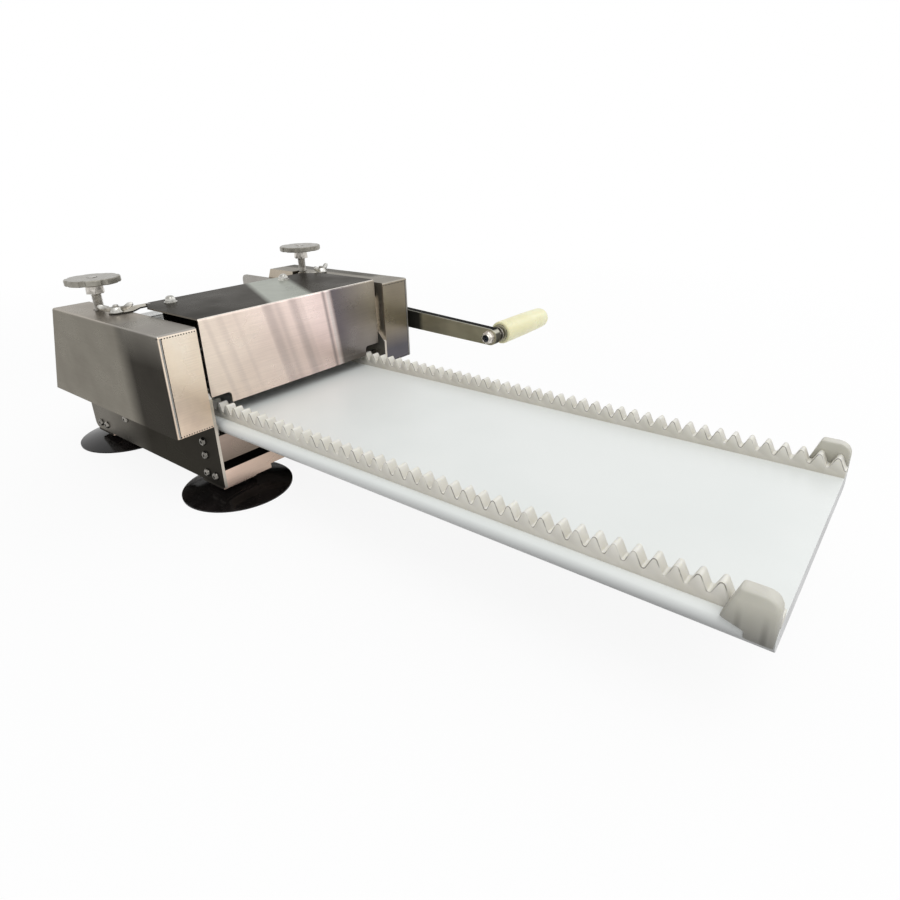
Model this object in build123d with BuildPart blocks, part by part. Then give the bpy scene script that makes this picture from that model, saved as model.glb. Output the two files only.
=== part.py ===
"""Hand-cranked dough sheeter with a rack-driven board.

A plastic board with a toothed rack along each edge slides over a folded steel bed between two
side plates. Pinions on the crank shaft drive the racks. Behind them the upper roller hangs in
two sliding blocks, which the hand screws on the end covers raise and lower.

Frame: X runs along the rollers (crank at +X), Y from front to back with the upper roller above
Y = 0, Z up from the surface that the suction cups stand on. All sizes are in millimetres.
"""
from build123d import *
from math import acos, cos, pi, radians, sin, sqrt, tan
import os

os.makedirs("parts", exist_ok=True)

# ---------------------------------------------------------------- driving sizes
# Board and racks
board_half_width = 113.0
board_thickness = 14.0
board_pitches = 62              # board length, counted in rack teeth
pitches_ahead = 44              # teeth between the board's front end and the crank shaft
rack_inset = 7.6                # board edge to the rack's outer face
rack_width = 10.0
rack_land = 6.0                 # board top to the foot of the teeth
ear_length = 29.0
ear_wrap = 16.0                 # length of the lower part that wraps the board's edge
ear_overhang = 2.5              # beyond the board's edge
ear_slope = 20.0                # degrees from upright, at the end that meets the teeth
ear_top = 23.0                  # above the board's top
ear_drop = 8.5                  # below the board's top
ear_nose_radius = 9.0
ear_corner = 1.5

# Rack and pinion teeth
module = 4.0
pressure_angle = 25.0
pinion_teeth = 16
pinion_thinning = 0.4
rack_thinning = 0.1
tooth_tip_cut = 0.9

# Feet and frame
cup_radius = 56.0
cup_height = 12.5
cup_inset = 27.0                # side plate's outer face to the cup's centre
front_cup_y = -139.0
rear_cup_y = 93.5
bracket_thickness = 2.5
bracket_reach = 42.0            # side plate's outer face to the bracket's inner end
bracket_rail_gap = 0.5
bracket_leg = 17.0
plate_thickness = 3.0
plate_gap = 5.0                 # board edge to the side plate's inner face
plate_front = -160.0
plate_step_height = 95.0        # above the plate's bottom, where its front edge steps back
plate_step = 12.0
plate_back = 118.0
plate_height = 152.5
plate_corner = 8.0
bed_rise = 55.0                 # side plate's bottom to the bed's top
bed_sheet = 2.0
bed_depth = 28.0
bed_front = -158.0
bed_back = 108.0
rail_height = 18.5
rail_flange = 20.0
rail_sheet = 2.0
rail_notch_half_width = 65.0
rail_notch_height = 5.0
rail_tab_margin = 6.0           # beyond the inner foot screw

# Upper roller and its sliding blocks
roller_radius = 35.0
roller_wall = 4.0
roller_rack_gap = 1.9           # roller's end to the rack beside it
roller_gap = 0.5                # nip at rest, the lowest setting
roller_lift = 12.0
roller_shaft_radius = 10.0
hub_thickness = 8.0
block_width = 38.0
block_below = 19.0
block_above = 28.0
block_thickness = 24.0
block_play = 0.1
bush_wall = 3.0
running_play = 0.05
guide_rail_width = 8.0
bridge_height = 6.0
bridge_gap = 0.5                # above the blocks at the highest setting

# Thickness screws
screw_radius = 5.0
screw_offset = 12.3             # side plate's outer face to the screw's axis
foot_radius = 8.0
foot_height = 4.0
foot_depth = 8.0
foot_play = 0.3
knob_radius = 26.0
knob_thickness = 6.0
knob_notches = 8
knob_notch_radius = 5.0
knob_notch_depth = 1.6
knob_rise = 27.0                # end cover's top to the knob's underside
screw_nut_flats = 16.0
screw_nut_height = 10.0

# Crank
shaft_radius = 8.0
shaft_bush_wall = 4.0
bush_flange = 3.0
bush_flange_rim = 4.0
crank_length = 172.0
crank_dip = 2.8                 # degrees below the horizontal at rest
crank_root_radius = 12.0
crank_end_radius = 10.0
crank_thickness = 10.0
crank_clearance = 12.0          # end cover's outer face to the arm
grip_radius = 13.5
grip_end_radius = 12.2
grip_edge = 2.0
grip_length = 96.0
grip_neck = 13.0                # arm to the grip
grip_bolt_radius = 4.0
grip_head_radius = 6.8
grip_head_height = 8.0
grip_nut_radius = 7.5
grip_washer_radius = 10.5
grip_washer_thickness = 2.0
grip_end_wall = 6.0

# Support roller below the board
support_radius = 20.0
support_axle_radius = 6.0
support_gap = 0.2
support_housing_wall = 4.0
support_housing_depth = 12.0
support_end_play = 0.5
support_slot_play = 3.0         # round the support roller, in the bed

# Covers and the bar that carries the front cover
cover_sheet = 1.5
cover_bend = 2.5
cover_depth = 38.0
crank_cover_depth = 43.0
cover_bottom = 67.0             # above the side plate's bottom
cover_top = 165.0
cover_top_back = 53.5
cover_lower_back = 101.5
cover_return = 12.0
shaft_hole_play = 3.0
front_cover_recess = 7.0        # plate's front edge to the front cover's face
front_cover_plate_gap = 4.0     # side plate's inner face to the front cover's end
front_cover_back = -37.0
flange_corner_x = 14.0          # the top flange's back corners are cut off by this much
flange_corner_y = 25.0
skirt_height = 13.4             # board top to the front cover's lower edge
skirt_tab_height = 24.5
skirt_rack_gap = 3.0            # rack's inner face to the skirt between the racks
skirt_corner = 4.0
hem_height = 6.5
bar_sheet = 1.5
bar_rise = 2.0                  # end cover's top to the bar's middle part
bar_joggle_gap = 1.5            # end cover to the bar's bend
bar_depth = 14.0
bar_overhang = 7.0              # beyond the clamp stud
clamp_y = -38.0
stud_radius = 3.0
hole_play = 0.3
bar_pin_inset = 12.0            # front cover's end to the pin that joins it to the bar
bar_pin_radius = 2.5
cap_screw_left_x = -86.0
cap_screw_right_x = 58.0
cap_screw_y = -57.0
cap_nut_flats = 10.0
cap_nut_height = 7.0
blade_sheet = 1.2
blade_end_gap = 2.5             # blade's end to the roller's end
blade_flange = 20.0
blade_bend_drop = 47.0          # front cover's flange to the blade's lower bend
blade_drop = 57.0               # front cover's flange to the blade's edge
blade_gap = 0.6
guide_height = 10.0
guide_gap = 0.4
guide_front = -155.0
stop_gap = 0.3
tie_radius = 6.0
button_radius = 4.5
button_height = 2.6
button_shank = 2.5
screw_row = 7.5                 # foot screws, each side of the cup's centre
foot_screw_rise = 9.5           # above the side plate's bottom
bed_screw_drop = 10.0           # below the bed's top
bed_screw_spacing = 15.0
bed_screw_inset = 24.0          # bed's front edge to the front pair
rear_bed_screw_y = 31.5
tie_ahead = 35.0                # crank shaft to the front tie rod
tie_above = 31.0
rear_tie_y = 42.0
rear_tie_above = 25.0

# ---------------------------------------------------------------- sizes that follow
pitch = pi * module
pinion_radius = module * pinion_teeth / 2
plate_bottom = cup_height + bracket_thickness
plate_inner = board_half_width + plate_gap
plate_outer = plate_inner + plate_thickness
bed_top = plate_bottom + bed_rise
board_top = bed_top + board_thickness
rack_outer = board_half_width - rack_inset
rack_inner = rack_outer - rack_width
roller_half_length = rack_inner - roller_rack_gap
rack_root = board_top + rack_land
rack_pitch_line = rack_root + 1.25 * module
rack_tip = rack_pitch_line + module
shaft_y = -103.0
shaft_z = rack_pitch_line + pinion_radius
board_front = shaft_y - pitches_ahead * pitch
board_back = board_front + board_pitches * pitch
board_middle = (board_front + board_back) / 2
roller_z = board_top + roller_gap + roller_radius
support_z = bed_top - support_gap - support_radius
cover_roof = plate_bottom + cover_top
cover_floor = plate_bottom + cover_bottom
crank_cover_face = plate_outer + crank_cover_depth
screw_x = plate_outer + screw_offset
clamp_x = screw_x
cup_x = plate_outer - cup_inset
bar_end_top = cover_roof + bar_sheet
bar_top = bar_end_top + bar_rise
bar_front = clamp_y - bar_depth / 2
front_cover_front = plate_front + front_cover_recess
front_cover_half_width = plate_inner - front_cover_plate_gap
front_cover_top = bar_top + cover_sheet
block_top = roller_z + block_above
rail_bottom = roller_z - block_below - plate_thickness
rail_top = block_top + roller_lift + bridge_gap
bush_radius = roller_shaft_radius + running_play + bush_wall
foot_z = block_top - foot_depth
knob_z = cover_roof + knob_rise
crank_angle = radians(crank_dip)
grip_y = shaft_y - crank_length * cos(crank_angle)
grip_z = shaft_z - crank_length * sin(crank_angle)
arm_inner = crank_cover_face + crank_clearance
arm_outer = arm_inner + crank_thickness
grip_start = arm_outer + grip_neck
guide_back = board_back - ear_wrap - stop_gap
slot_width = 2 * screw_radius + 2


# ---------------------------------------------------------------- shared steps
def save(part, name):
    """Label a finished solid and write it as its own file."""
    part.label = name
    export_step(part, f"parts/{name}.step")


def save_pair(part, name):
    """Write a piece of the crank side and its mirror image on the other side."""
    save(part, f"{name}_right")
    save(mirror(part, about=Plane.YZ), f"{name}_left")


def rod(y, z, radius, x_from, x_to, bore=0.0):
    """A round bar or tube along X, through the point (y, z)."""
    with BuildPart() as bar:
        with BuildSketch(Plane.YZ.offset(x_from)):
            with Locations((y, z)):
                Circle(radius)
                if bore:
                    Circle(bore, mode=Mode.SUBTRACT)
        extrude(amount=x_to - x_from)
    return bar.part


def posts(places, z_from, z_to, radius, bore=0.0):
    """Round bars or washers along Z, one at each (x, y) place."""
    with BuildPart() as bars:
        with BuildSketch(Plane.XY.offset(z_from)):
            with Locations(*places):
                Circle(radius)
                if bore:
                    Circle(bore, mode=Mode.SUBTRACT)
        extrude(amount=z_to - z_from)
    return bars.part


def hex_nuts(places, z_from, height, flats, bore):
    """Hexagon nuts along Z, one at each (x, y) place, with chamfered corners on top."""
    corner_radius = flats / 2 / cos(pi / 6)
    with BuildPart() as nuts:
        with BuildSketch(Plane.XY.offset(z_from)):
            with Locations(*places):
                RegularPolygon(corner_radius, 6)
                Circle(bore, mode=Mode.SUBTRACT)
        extrude(amount=height)
        with BuildSketch(Plane.XY.offset(z_from)):
            with Locations(*places):
                Circle(corner_radius)
        extrude(amount=height, taper=8, mode=Mode.INTERSECT)
    return nuts.part


def both_sides(places):
    """The given (x, y) places and their mirror images on the other side of the machine."""
    return [(side * x, y) for side in (1, -1) for x, y in places]


def with_mirror(part):
    """A piece and its mirror image on the other side, as two solids of one node."""
    return Compound(children=[part, mirror(part, about=Plane.YZ)])


# ---------------------------------------------------------------- board, racks and stop ears
with BuildPart() as board:
    with BuildSketch(Plane.XZ.offset(-board_back)):
        with Locations((0, board_top - board_thickness / 2)):
            SlotOverall(2 * board_half_width, board_thickness)
    extrude(amount=board_pitches * pitch)
save(board.part, "board")

rack_tooth_half = (pitch / 2 - rack_thinning) / 2
half_root = rack_tooth_half + 1.25 * module * tan(radians(pressure_angle))
half_tip = rack_tooth_half - module * tan(radians(pressure_angle))
half_cut = half_tip + tooth_tip_cut * tan(radians(pressure_angle))
with BuildPart() as rack:
    with BuildSketch(Plane.YZ.offset(rack_inner)):
        with BuildLine():
            teeth_line = [(board_front, board_top), (board_front, rack_root)]
            for tooth in range(board_pitches):
                middle = board_front + (tooth + 0.5) * pitch
                teeth_line += [
                    (middle - half_root, rack_root),
                    (middle - half_cut, rack_tip - tooth_tip_cut),
                    (middle - half_tip + tooth_tip_cut / 2, rack_tip),
                    (middle + half_tip - tooth_tip_cut / 2, rack_tip),
                    (middle + half_cut, rack_tip - tooth_tip_cut),
                    (middle + half_root, rack_root),
                ]
            teeth_line += [(board_back, rack_root), (board_back, board_top)]
            Polyline(*teeth_line, close=True)
        make_face()
    extrude(amount=rack_width)
save_pair(rack.part, "rack")

# The ear wraps the board's rounded edge beside the last teeth and starts like a tooth flank.
ear_tail = board_front + ear_length
ear_shoulder = ear_top * tan(radians(ear_slope))
with BuildPart() as ear:
    with BuildSketch(Plane.YZ.offset(rack_outer)) as ear_face:
        with BuildLine():
            Polyline(
                (board_front, board_top - ear_drop),
                (board_front, board_top + ear_top),
                (ear_tail - ear_shoulder, board_top + ear_top),
                (ear_tail, board_top),
                (board_front + ear_wrap, bed_top + guide_height),
                (board_front + ear_wrap, board_top - ear_drop),
                close=True,
            )
        make_face()
        crown = ear_face.vertices().group_by(Axis.Y)[-1].sort_by(Axis.X)
        fillet(crown[0], ear_nose_radius)
        crown = ear_face.vertices().group_by(Axis.Y)[-1].sort_by(Axis.X)
        fillet(crown[-1], ear_nose_radius / 4)
    extrude(amount=board_half_width + ear_overhang - rack_outer)
    add(board.part, mode=Mode.SUBTRACT)
    chamfer(ear.edges().group_by(Axis.X)[-1], ear_corner)
board_middle_plane = Plane.XZ.offset(-board_middle)
save(with_mirror(ear.part), "front_ears")
save(with_mirror(mirror(ear.part, about=board_middle_plane)), "rear_ears")

# ---------------------------------------------------------------- crank shaft and pinions
bushing_radius = shaft_radius + running_play + shaft_bush_wall
base_radius = pinion_radius * cos(radians(pressure_angle))
tip_radius = pinion_radius + module
root_radius = pinion_radius - 1.25 * module
pitch_half_angle = (pitch / 2 - pinion_thinning) / (2 * pinion_radius)


def involute(angle):
    """Polar angle that an involute has run through at this pressure angle."""
    return tan(angle) - angle


def flank_point(radius, side):
    """A point of a tooth that points along the sketch's X, at this radius from the axis."""
    roll = acos(min(1.0, base_radius / radius))
    half = pitch_half_angle + involute(radians(pressure_angle)) - involute(roll)
    return (radius * cos(half), side * radius * sin(half))


flank_radii = [base_radius + (tip_radius - base_radius) * step / 5 for step in range(6)]
foot_radius_inside = root_radius - 1.0
foot_half = flank_point(base_radius, 1)[1] / base_radius
foot_point = (foot_radius_inside * cos(foot_half), foot_radius_inside * sin(foot_half))
with BuildSketch() as pinion_tooth:
    with BuildLine():
        upper = [flank_point(radius, 1) for radius in flank_radii]
        lower = [flank_point(radius, -1) for radius in flank_radii]
        Line(foot_point, upper[0])
        Polyline(*upper)
        ThreePointArc(upper[-1], (tip_radius, 0), lower[-1])
        Polyline(*lower)
        Line(lower[0], (foot_point[0], -foot_point[1]))
        Line((foot_point[0], -foot_point[1]), foot_point)
    make_face()

pinion_width = rack_width - 1.0
pinion_inner = rack_inner + 0.5
with BuildPart() as pinion:
    with BuildSketch(Plane.YZ.offset(pinion_inner)):
        with Locations((shaft_y, shaft_z)):
            Circle(root_radius)
            with PolarLocations(0, pinion_teeth, start_angle=-90):
                add(pinion_tooth.sketch)
            Circle(shaft_radius, mode=Mode.SUBTRACT)
    extrude(amount=pinion_width)
    with BuildSketch(Plane.YZ.offset(pinion_inner)):
        with Locations((shaft_y, shaft_z)):
            Circle(2 * shaft_radius)
            Circle(shaft_radius, mode=Mode.SUBTRACT)
    extrude(amount=-pinion_width)
save_pair(pinion.part, "pinion")

collar_width = 8.0
collar_radius = 1.6 * shaft_radius
collar_inner = plate_outer + bush_flange + block_play
shaft_left_end = -(collar_inner + collar_width + 1)
save(rod(shaft_y, shaft_z, shaft_radius, shaft_left_end, arm_outer), "crank_shaft")
save(
    with_mirror(rod(shaft_y, shaft_z, collar_radius, collar_inner, collar_inner + collar_width,
                    bore=shaft_radius)),
    "shaft_collars",
)
with BuildPart() as shaft_bush:
    with BuildSketch(Plane.YZ.offset(plate_inner)):
        with Locations((shaft_y, shaft_z)):
            Circle(bushing_radius)
    extrude(amount=plate_thickness + bush_flange)
    with BuildSketch(Plane.YZ.offset(plate_outer)):
        with Locations((shaft_y, shaft_z)):
            Circle(bushing_radius + bush_flange_rim)
    extrude(amount=bush_flange)
    with BuildSketch(Plane.YZ.offset(plate_inner)):
        with Locations((shaft_y, shaft_z)):
            Circle(shaft_radius + running_play)
    extrude(amount=plate_thickness + bush_flange, mode=Mode.SUBTRACT)
save(with_mirror(shaft_bush.part), "shaft_bushes")
hub_gap = 3.0
save(
    rod(shaft_y, shaft_z, collar_radius, crank_cover_face + hub_gap, arm_inner,
        bore=shaft_radius),
    "crank_hub",
)

# ---------------------------------------------------------------- crank arm and grip
with BuildPart() as crank_arm:
    with BuildSketch(Plane.YZ.offset(arm_inner)):
        with Locations((shaft_y, shaft_z)):
            Circle(crank_root_radius)
        with Locations((grip_y, grip_z)):
            Circle(crank_end_radius)
        make_hull()
        with Locations((shaft_y, shaft_z)):
            Circle(shaft_radius, mode=Mode.SUBTRACT)
        with Locations((grip_y, grip_z)):
            Circle(grip_bolt_radius, mode=Mode.SUBTRACT)
    extrude(amount=crank_thickness)
    chamfer(crank_arm.faces().sort_by(Axis.X)[0].outer_wire().edges(), 0.6)
    chamfer(crank_arm.faces().sort_by(Axis.X)[-1].outer_wire().edges(), 0.6)
save(crank_arm.part, "crank_arm")

arm_washer_thickness = 2.0
arm_screw_head = 5.0
with BuildPart() as arm_screw:
    with BuildSketch(Plane.YZ.offset(arm_outer)):
        with Locations((shaft_y, shaft_z)):
            Circle(1.3 * shaft_radius)
    extrude(amount=arm_washer_thickness)
    with BuildSketch(Plane.YZ.offset(arm_outer)):
        with Locations((shaft_y, shaft_z)):
            Circle(0.7 * shaft_radius)
    extrude(amount=arm_washer_thickness + arm_screw_head)
save(arm_screw.part, "arm_screw")

grip_bolt_end = grip_start + grip_length - grip_end_wall
with BuildPart() as grip_bolt:
    with BuildSketch(Plane.YZ.offset(arm_inner - grip_head_height)):
        with Locations((grip_y, grip_z)):
            Circle(grip_head_radius)
            RegularPolygon(0.5 * grip_head_radius, 6, mode=Mode.SUBTRACT)
    extrude(amount=grip_head_height)
    with BuildSketch(Plane.YZ.offset(arm_inner - grip_head_height / 2)):
        with Locations((grip_y, grip_z)):
            Circle(grip_bolt_radius)
    extrude(amount=grip_bolt_end - arm_inner + grip_head_height / 2)
save(grip_bolt.part, "grip_bolt")
grip_washer_start = grip_start - grip_washer_thickness
with BuildPart() as grip_collar:
    with BuildSketch(Plane.YZ.offset(arm_outer)):
        with Locations((grip_y, grip_z)):
            Circle(grip_nut_radius)
    extrude(amount=grip_washer_start - arm_outer)
    with BuildSketch(Plane.YZ.offset(grip_washer_start)):
        with Locations((grip_y, grip_z)):
            Circle(grip_washer_radius)
    extrude(amount=grip_washer_thickness - block_play)
    with BuildSketch(Plane.YZ.offset(arm_outer)):
        with Locations((grip_y, grip_z)):
            Circle(grip_bolt_radius)
    extrude(amount=grip_neck, mode=Mode.SUBTRACT)
save(grip_collar.part, "grip_collar")
grip_bore = grip_bolt_radius + running_play
grip_end = grip_start + grip_length
with BuildPart() as grip:
    with BuildSketch(Plane.XZ.offset(-grip_y)):
        with BuildLine():
            Polyline(
                (grip_start, grip_z + grip_bore),
                (grip_start, grip_z + grip_radius - grip_edge / 2),
                (grip_start + grip_edge / 2, grip_z + grip_radius),
                (grip_end - grip_edge, grip_z + grip_end_radius),
                (grip_end, grip_z + grip_end_radius - grip_edge),
                (grip_end, grip_z),
                (grip_bolt_end + grip_edge / 2, grip_z),
                (grip_bolt_end + grip_edge / 2, grip_z + grip_bore),
                close=True,
            )
        make_face()
    revolve(axis=Axis((0, grip_y, grip_z), (1, 0, 0)))
save(grip.part, "grip")

# ---------------------------------------------------------------- upper roller
save(
    rod(0, roller_z, roller_radius, -roller_half_length, roller_half_length,
        bore=roller_radius - roller_wall),
    "roller_tube",
)
save(
    with_mirror(rod(0, roller_z, roller_radius - roller_wall, roller_half_length - hub_thickness,
                    roller_half_length, bore=roller_shaft_radius)),
    "roller_hubs",
)
block_inner = plate_outer + block_play
block_outer = block_inner + block_thickness
save(rod(0, roller_z, roller_shaft_radius, -block_outer, block_outer), "roller_shaft")
save(
    with_mirror(rod(0, roller_z, bush_radius, block_inner, block_outer,
                    bore=roller_shaft_radius + running_play)),
    "roller_bushes",
)

# The block's upper end has a T slot, open on the outside, that holds the thickness screw's foot.
with BuildPart() as block:
    with BuildSketch(Plane.YZ.offset(block_inner)) as block_face:
        with Locations((0, roller_z + (block_above - block_below) / 2)):
            Rectangle(block_width - 2 * block_play, block_above + block_below)
        with Locations((0, roller_z)):
            Circle(bush_radius, mode=Mode.SUBTRACT)
    extrude(amount=block_thickness)
    foot_slot = foot_radius + foot_play
    with BuildSketch(Plane.XY.offset(foot_z - foot_play / 2)):
        with Locations((screw_x, 0)):
            Circle(foot_slot)
        with Locations((screw_x + block_thickness / 2, 0)):
            Rectangle(block_thickness, 2 * foot_slot)
    extrude(amount=foot_height + foot_play, mode=Mode.SUBTRACT)
    neck_slot = screw_radius + foot_play
    with BuildSketch(Plane.XY.offset(foot_z)):
        with Locations((screw_x, 0)):
            Circle(neck_slot)
        with Locations((screw_x + block_thickness / 2, 0)):
            Rectangle(block_thickness, 2 * neck_slot)
    extrude(amount=foot_depth + 1, mode=Mode.SUBTRACT)
save_pair(block.part, "roller_block")

# ---------------------------------------------------------------- thickness screws
with BuildPart() as screw:
    with BuildSketch(Plane.XY.offset(foot_z)):
        with Locations((screw_x, 0)):
            Circle(foot_radius)
    extrude(amount=foot_height)
    with BuildSketch(Plane.XY.offset(foot_z)):
        with Locations((screw_x, 0)):
            Circle(screw_radius)
    extrude(amount=knob_z + knob_thickness + 0.5 - foot_z)
    chamfer(screw.faces().sort_by(Axis.Z)[-1].edges(), 0.8)
save_pair(screw.part, "thickness_screw")

with BuildPart() as knob:
    with BuildSketch(Plane.XY.offset(knob_z)):
        with Locations((screw_x, 0)):
            Circle(knob_radius)
            with PolarLocations(knob_radius + knob_notch_radius - knob_notch_depth, knob_notches):
                Circle(knob_notch_radius, mode=Mode.SUBTRACT)
            Circle(screw_radius, mode=Mode.SUBTRACT)
    extrude(amount=knob_thickness)
    chamfer(knob.faces().sort_by(Axis.Z)[-1].outer_wire().edges(), 0.8)
    chamfer(knob.faces().sort_by(Axis.Z)[0].outer_wire().edges(), 0.8)
save_pair(knob.part, "knob")
save_pair(
    hex_nuts([(screw_x, 0)], knob_z - screw_nut_height, screw_nut_height, screw_nut_flats,
             screw_radius),
    "knob_nut",
)

# ---------------------------------------------------------------- block guides
rail_middle = block_width / 2 + guide_rail_width / 2
with BuildPart() as guide_rails:
    with BuildSketch(Plane.YZ.offset(plate_outer)):
        with Locations((-rail_middle, (rail_bottom + rail_top) / 2),
                       (rail_middle, (rail_bottom + rail_top) / 2)):
            Rectangle(guide_rail_width, rail_top - rail_bottom)
    extrude(amount=block_thickness)
save_pair(guide_rails.part, "guide_rails")

with BuildPart() as bridge:
    with BuildSketch(Plane.XY.offset(rail_top)):
        with Locations((plate_outer + block_thickness / 2, 0)):
            Rectangle(block_thickness, block_width + 2 * guide_rail_width)
        with Locations((screw_x, 0)):
            Circle(screw_radius + running_play, mode=Mode.SUBTRACT)
    extrude(amount=bridge_height)
save(with_mirror(bridge.part), "screw_bridges")

# ---------------------------------------------------------------- support roller
support_end = roller_half_length
housing_outer = plate_inner - bed_sheet
housing_radius = support_axle_radius + running_play + support_housing_wall
axle_end = housing_outer - support_housing_wall / 2
save(
    rod(0, support_z, support_radius, -support_end, support_end, bore=support_axle_radius),
    "support_roller",
)
save(rod(0, support_z, support_axle_radius, -axle_end, axle_end), "support_axle")
with BuildPart() as support_bush:
    with BuildSketch(Plane.YZ.offset(housing_outer)):
        with Locations((0, support_z)):
            Circle(housing_radius)
    extrude(amount=-support_housing_depth)
    with BuildSketch(Plane.YZ.offset(axle_end + support_end_play)):
        with Locations((0, support_z)):
            Circle(support_axle_radius + running_play)
    extrude(amount=-support_housing_depth, mode=Mode.SUBTRACT)
save(with_mirror(support_bush.part), "support_bushes")

# ---------------------------------------------------------------- side plates
foot_screw_z = plate_bottom + foot_screw_rise
foot_screw_places = [
    (cup_y + step, foot_screw_z)
    for cup_y in (front_cup_y, rear_cup_y) for step in (-screw_row, screw_row)
]
upper_bed_screw_z = bed_top - bed_screw_drop
lower_bed_screw_z = upper_bed_screw_z - bed_screw_spacing
bed_screw_places = [
    (bed_front + bed_screw_inset, upper_bed_screw_z),
    (bed_front + bed_screw_inset, lower_bed_screw_z),
    (rear_bed_screw_y, lower_bed_screw_z),
]
tie_places = [(shaft_y - tie_ahead, shaft_z + tie_above), (rear_tie_y, shaft_z + rear_tie_above)]
roller_slot_radius = roller_shaft_radius + 1
with BuildPart() as side_plate:
    with BuildSketch(Plane.YZ.offset(plate_inner)) as plate_face:
        with BuildLine():
            Polyline(
                (plate_front, plate_bottom),
                (plate_front, plate_bottom + plate_step_height),
                (plate_front + plate_step, plate_bottom + plate_step_height + plate_step),
                (plate_front + plate_step, plate_bottom + plate_height),
                (plate_back, plate_bottom + plate_height),
                (plate_back, plate_bottom),
                close=True,
            )
        make_face()
        fillet(plate_face.vertices().group_by(Axis.Y)[-1], plate_corner)
        fillet(plate_face.vertices().group_by(Axis.Y)[0].sort_by(Axis.X)[-1], plate_corner)
        with Locations((0, roller_z + roller_lift / 2)):
            SlotCenterToCenter(roller_lift, 2 * roller_slot_radius, rotation=90,
                               mode=Mode.SUBTRACT)
        with Locations((shaft_y, shaft_z)):
            Circle(bushing_radius, mode=Mode.SUBTRACT)
        with Locations(*foot_screw_places, *bed_screw_places):
            Circle(button_shank, mode=Mode.SUBTRACT)
        with Locations(*tie_places):
            Circle(stud_radius, mode=Mode.SUBTRACT)
    extrude(amount=plate_thickness)
save_pair(side_plate.part, "side_plate")


def button_screws(places, x_head, shank_length):
    """Round-headed screws driven in -X, with heads that rise from the plane x_head."""
    with BuildPart() as screws:
        with BuildSketch(Plane.YZ.offset(x_head)):
            with Locations(*places):
                Circle(button_radius)
        extrude(amount=button_height, taper=25)
        with BuildSketch(Plane.YZ.offset(x_head)):
            with Locations(*places):
                Circle(button_shank)
        extrude(amount=-shank_length)
    return screws.part


save(
    with_mirror(button_screws(bed_screw_places, plate_outer, plate_thickness + bed_sheet)),
    "bed_screws",
)
save(
    with_mirror(button_screws(foot_screw_places, plate_outer,
                              plate_thickness + rail_sheet + bracket_thickness)),
    "foot_screws",
)
with BuildPart() as tie_rods:
    with BuildSketch(Plane.YZ.offset(-plate_inner)):
        with Locations(*tie_places):
            Circle(tie_radius)
    extrude(amount=2 * plate_inner)
save(tie_rods.part, "tie_rods")
with BuildPart() as tie_screws:
    with BuildSketch(Plane.YZ.offset(plate_outer)):
        with Locations(*tie_places):
            Circle(button_radius + 1)
    extrude(amount=button_height)
    with BuildSketch(Plane.YZ.offset(plate_inner)):
        with Locations(*tie_places):
            Circle(stud_radius)
    extrude(amount=plate_thickness)
save(with_mirror(tie_screws.part), "tie_screws")

# ---------------------------------------------------------------- bed
bed_middle = (bed_front + bed_back) / 2
bed_length = bed_back - bed_front
with BuildPart() as bed:
    with BuildSketch(Plane.XY.offset(bed_top - bed_depth)):
        with Locations((0, bed_middle)):
            Rectangle(2 * plate_inner, bed_length)
    extrude(amount=bed_depth)
    with BuildSketch(Plane.XY.offset(bed_top - bed_depth)):
        with Locations((0, bed_middle)):
            Rectangle(2 * (plate_inner - bed_sheet), bed_length - 2 * bed_sheet)
    extrude(amount=bed_depth - bed_sheet, mode=Mode.SUBTRACT)
    with BuildSketch(Plane.XY.offset(bed_top)):
        Rectangle(2 * (support_end + support_slot_play), 2 * (support_radius + support_slot_play))
    extrude(amount=-2 * bed_sheet, mode=Mode.SUBTRACT)
    with BuildSketch(Plane.YZ.offset(-plate_inner)):
        with Locations(*bed_screw_places):
            Circle(button_shank)
    extrude(amount=2 * plate_inner, mode=Mode.SUBTRACT)
save(bed.part, "bed")

with BuildPart() as board_guide:
    with BuildSketch(Plane.XY.offset(bed_top)):
        with Locations(((board_half_width + guide_gap + plate_inner) / 2,
                        (guide_front + guide_back) / 2)):
            Rectangle(plate_inner - board_half_width - guide_gap, guide_back - guide_front)
    extrude(amount=guide_height)
    chamfer(board_guide.edges().filter_by(Axis.Z).sort_by(Axis.X)[:2], 1.5)
save(with_mirror(board_guide.part), "board_guides")


# ---------------------------------------------------------------- base rails
def base_rail(outer_y, inward, cup_y):
    """A folded cross member: web across the end, flange on top, tabs along the side plates."""
    web_y = outer_y + inward * rail_sheet / 2
    rail_z = plate_bottom + rail_height / 2
    tab_end = cup_y + inward * (screw_row + rail_tab_margin)
    with BuildPart() as rail:
        with BuildSketch(Plane.YZ.offset(-plate_inner)):
            with Locations((web_y, rail_z)):
                Rectangle(rail_sheet, rail_height)
            with Locations((outer_y + inward * rail_flange / 2,
                            plate_bottom + rail_height - rail_sheet / 2)):
                Rectangle(rail_flange, rail_sheet)
        extrude(amount=2 * plate_inner)
        for side in (-1, 1):
            with BuildSketch(Plane.YZ.offset(side * plate_inner)):
                with Locations(((outer_y + tab_end) / 2, rail_z)):
                    Rectangle(abs(tab_end - outer_y), rail_height)
                with Locations((cup_y - screw_row, foot_screw_z), (cup_y + screw_row, foot_screw_z)):
                    Circle(button_shank, mode=Mode.SUBTRACT)
            extrude(amount=-side * rail_sheet)
        with BuildSketch(Plane.XZ.offset(-web_y)):
            with Locations((0, plate_bottom)):
                Rectangle(2 * rail_notch_half_width, 2 * rail_notch_height)
        extrude(amount=rail_sheet, both=True, mode=Mode.SUBTRACT)
    return rail.part


save(base_rail(plate_front, 1, front_cup_y), "base_rail_front")
save(base_rail(plate_back, -1, rear_cup_y), "base_rail_rear")

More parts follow.
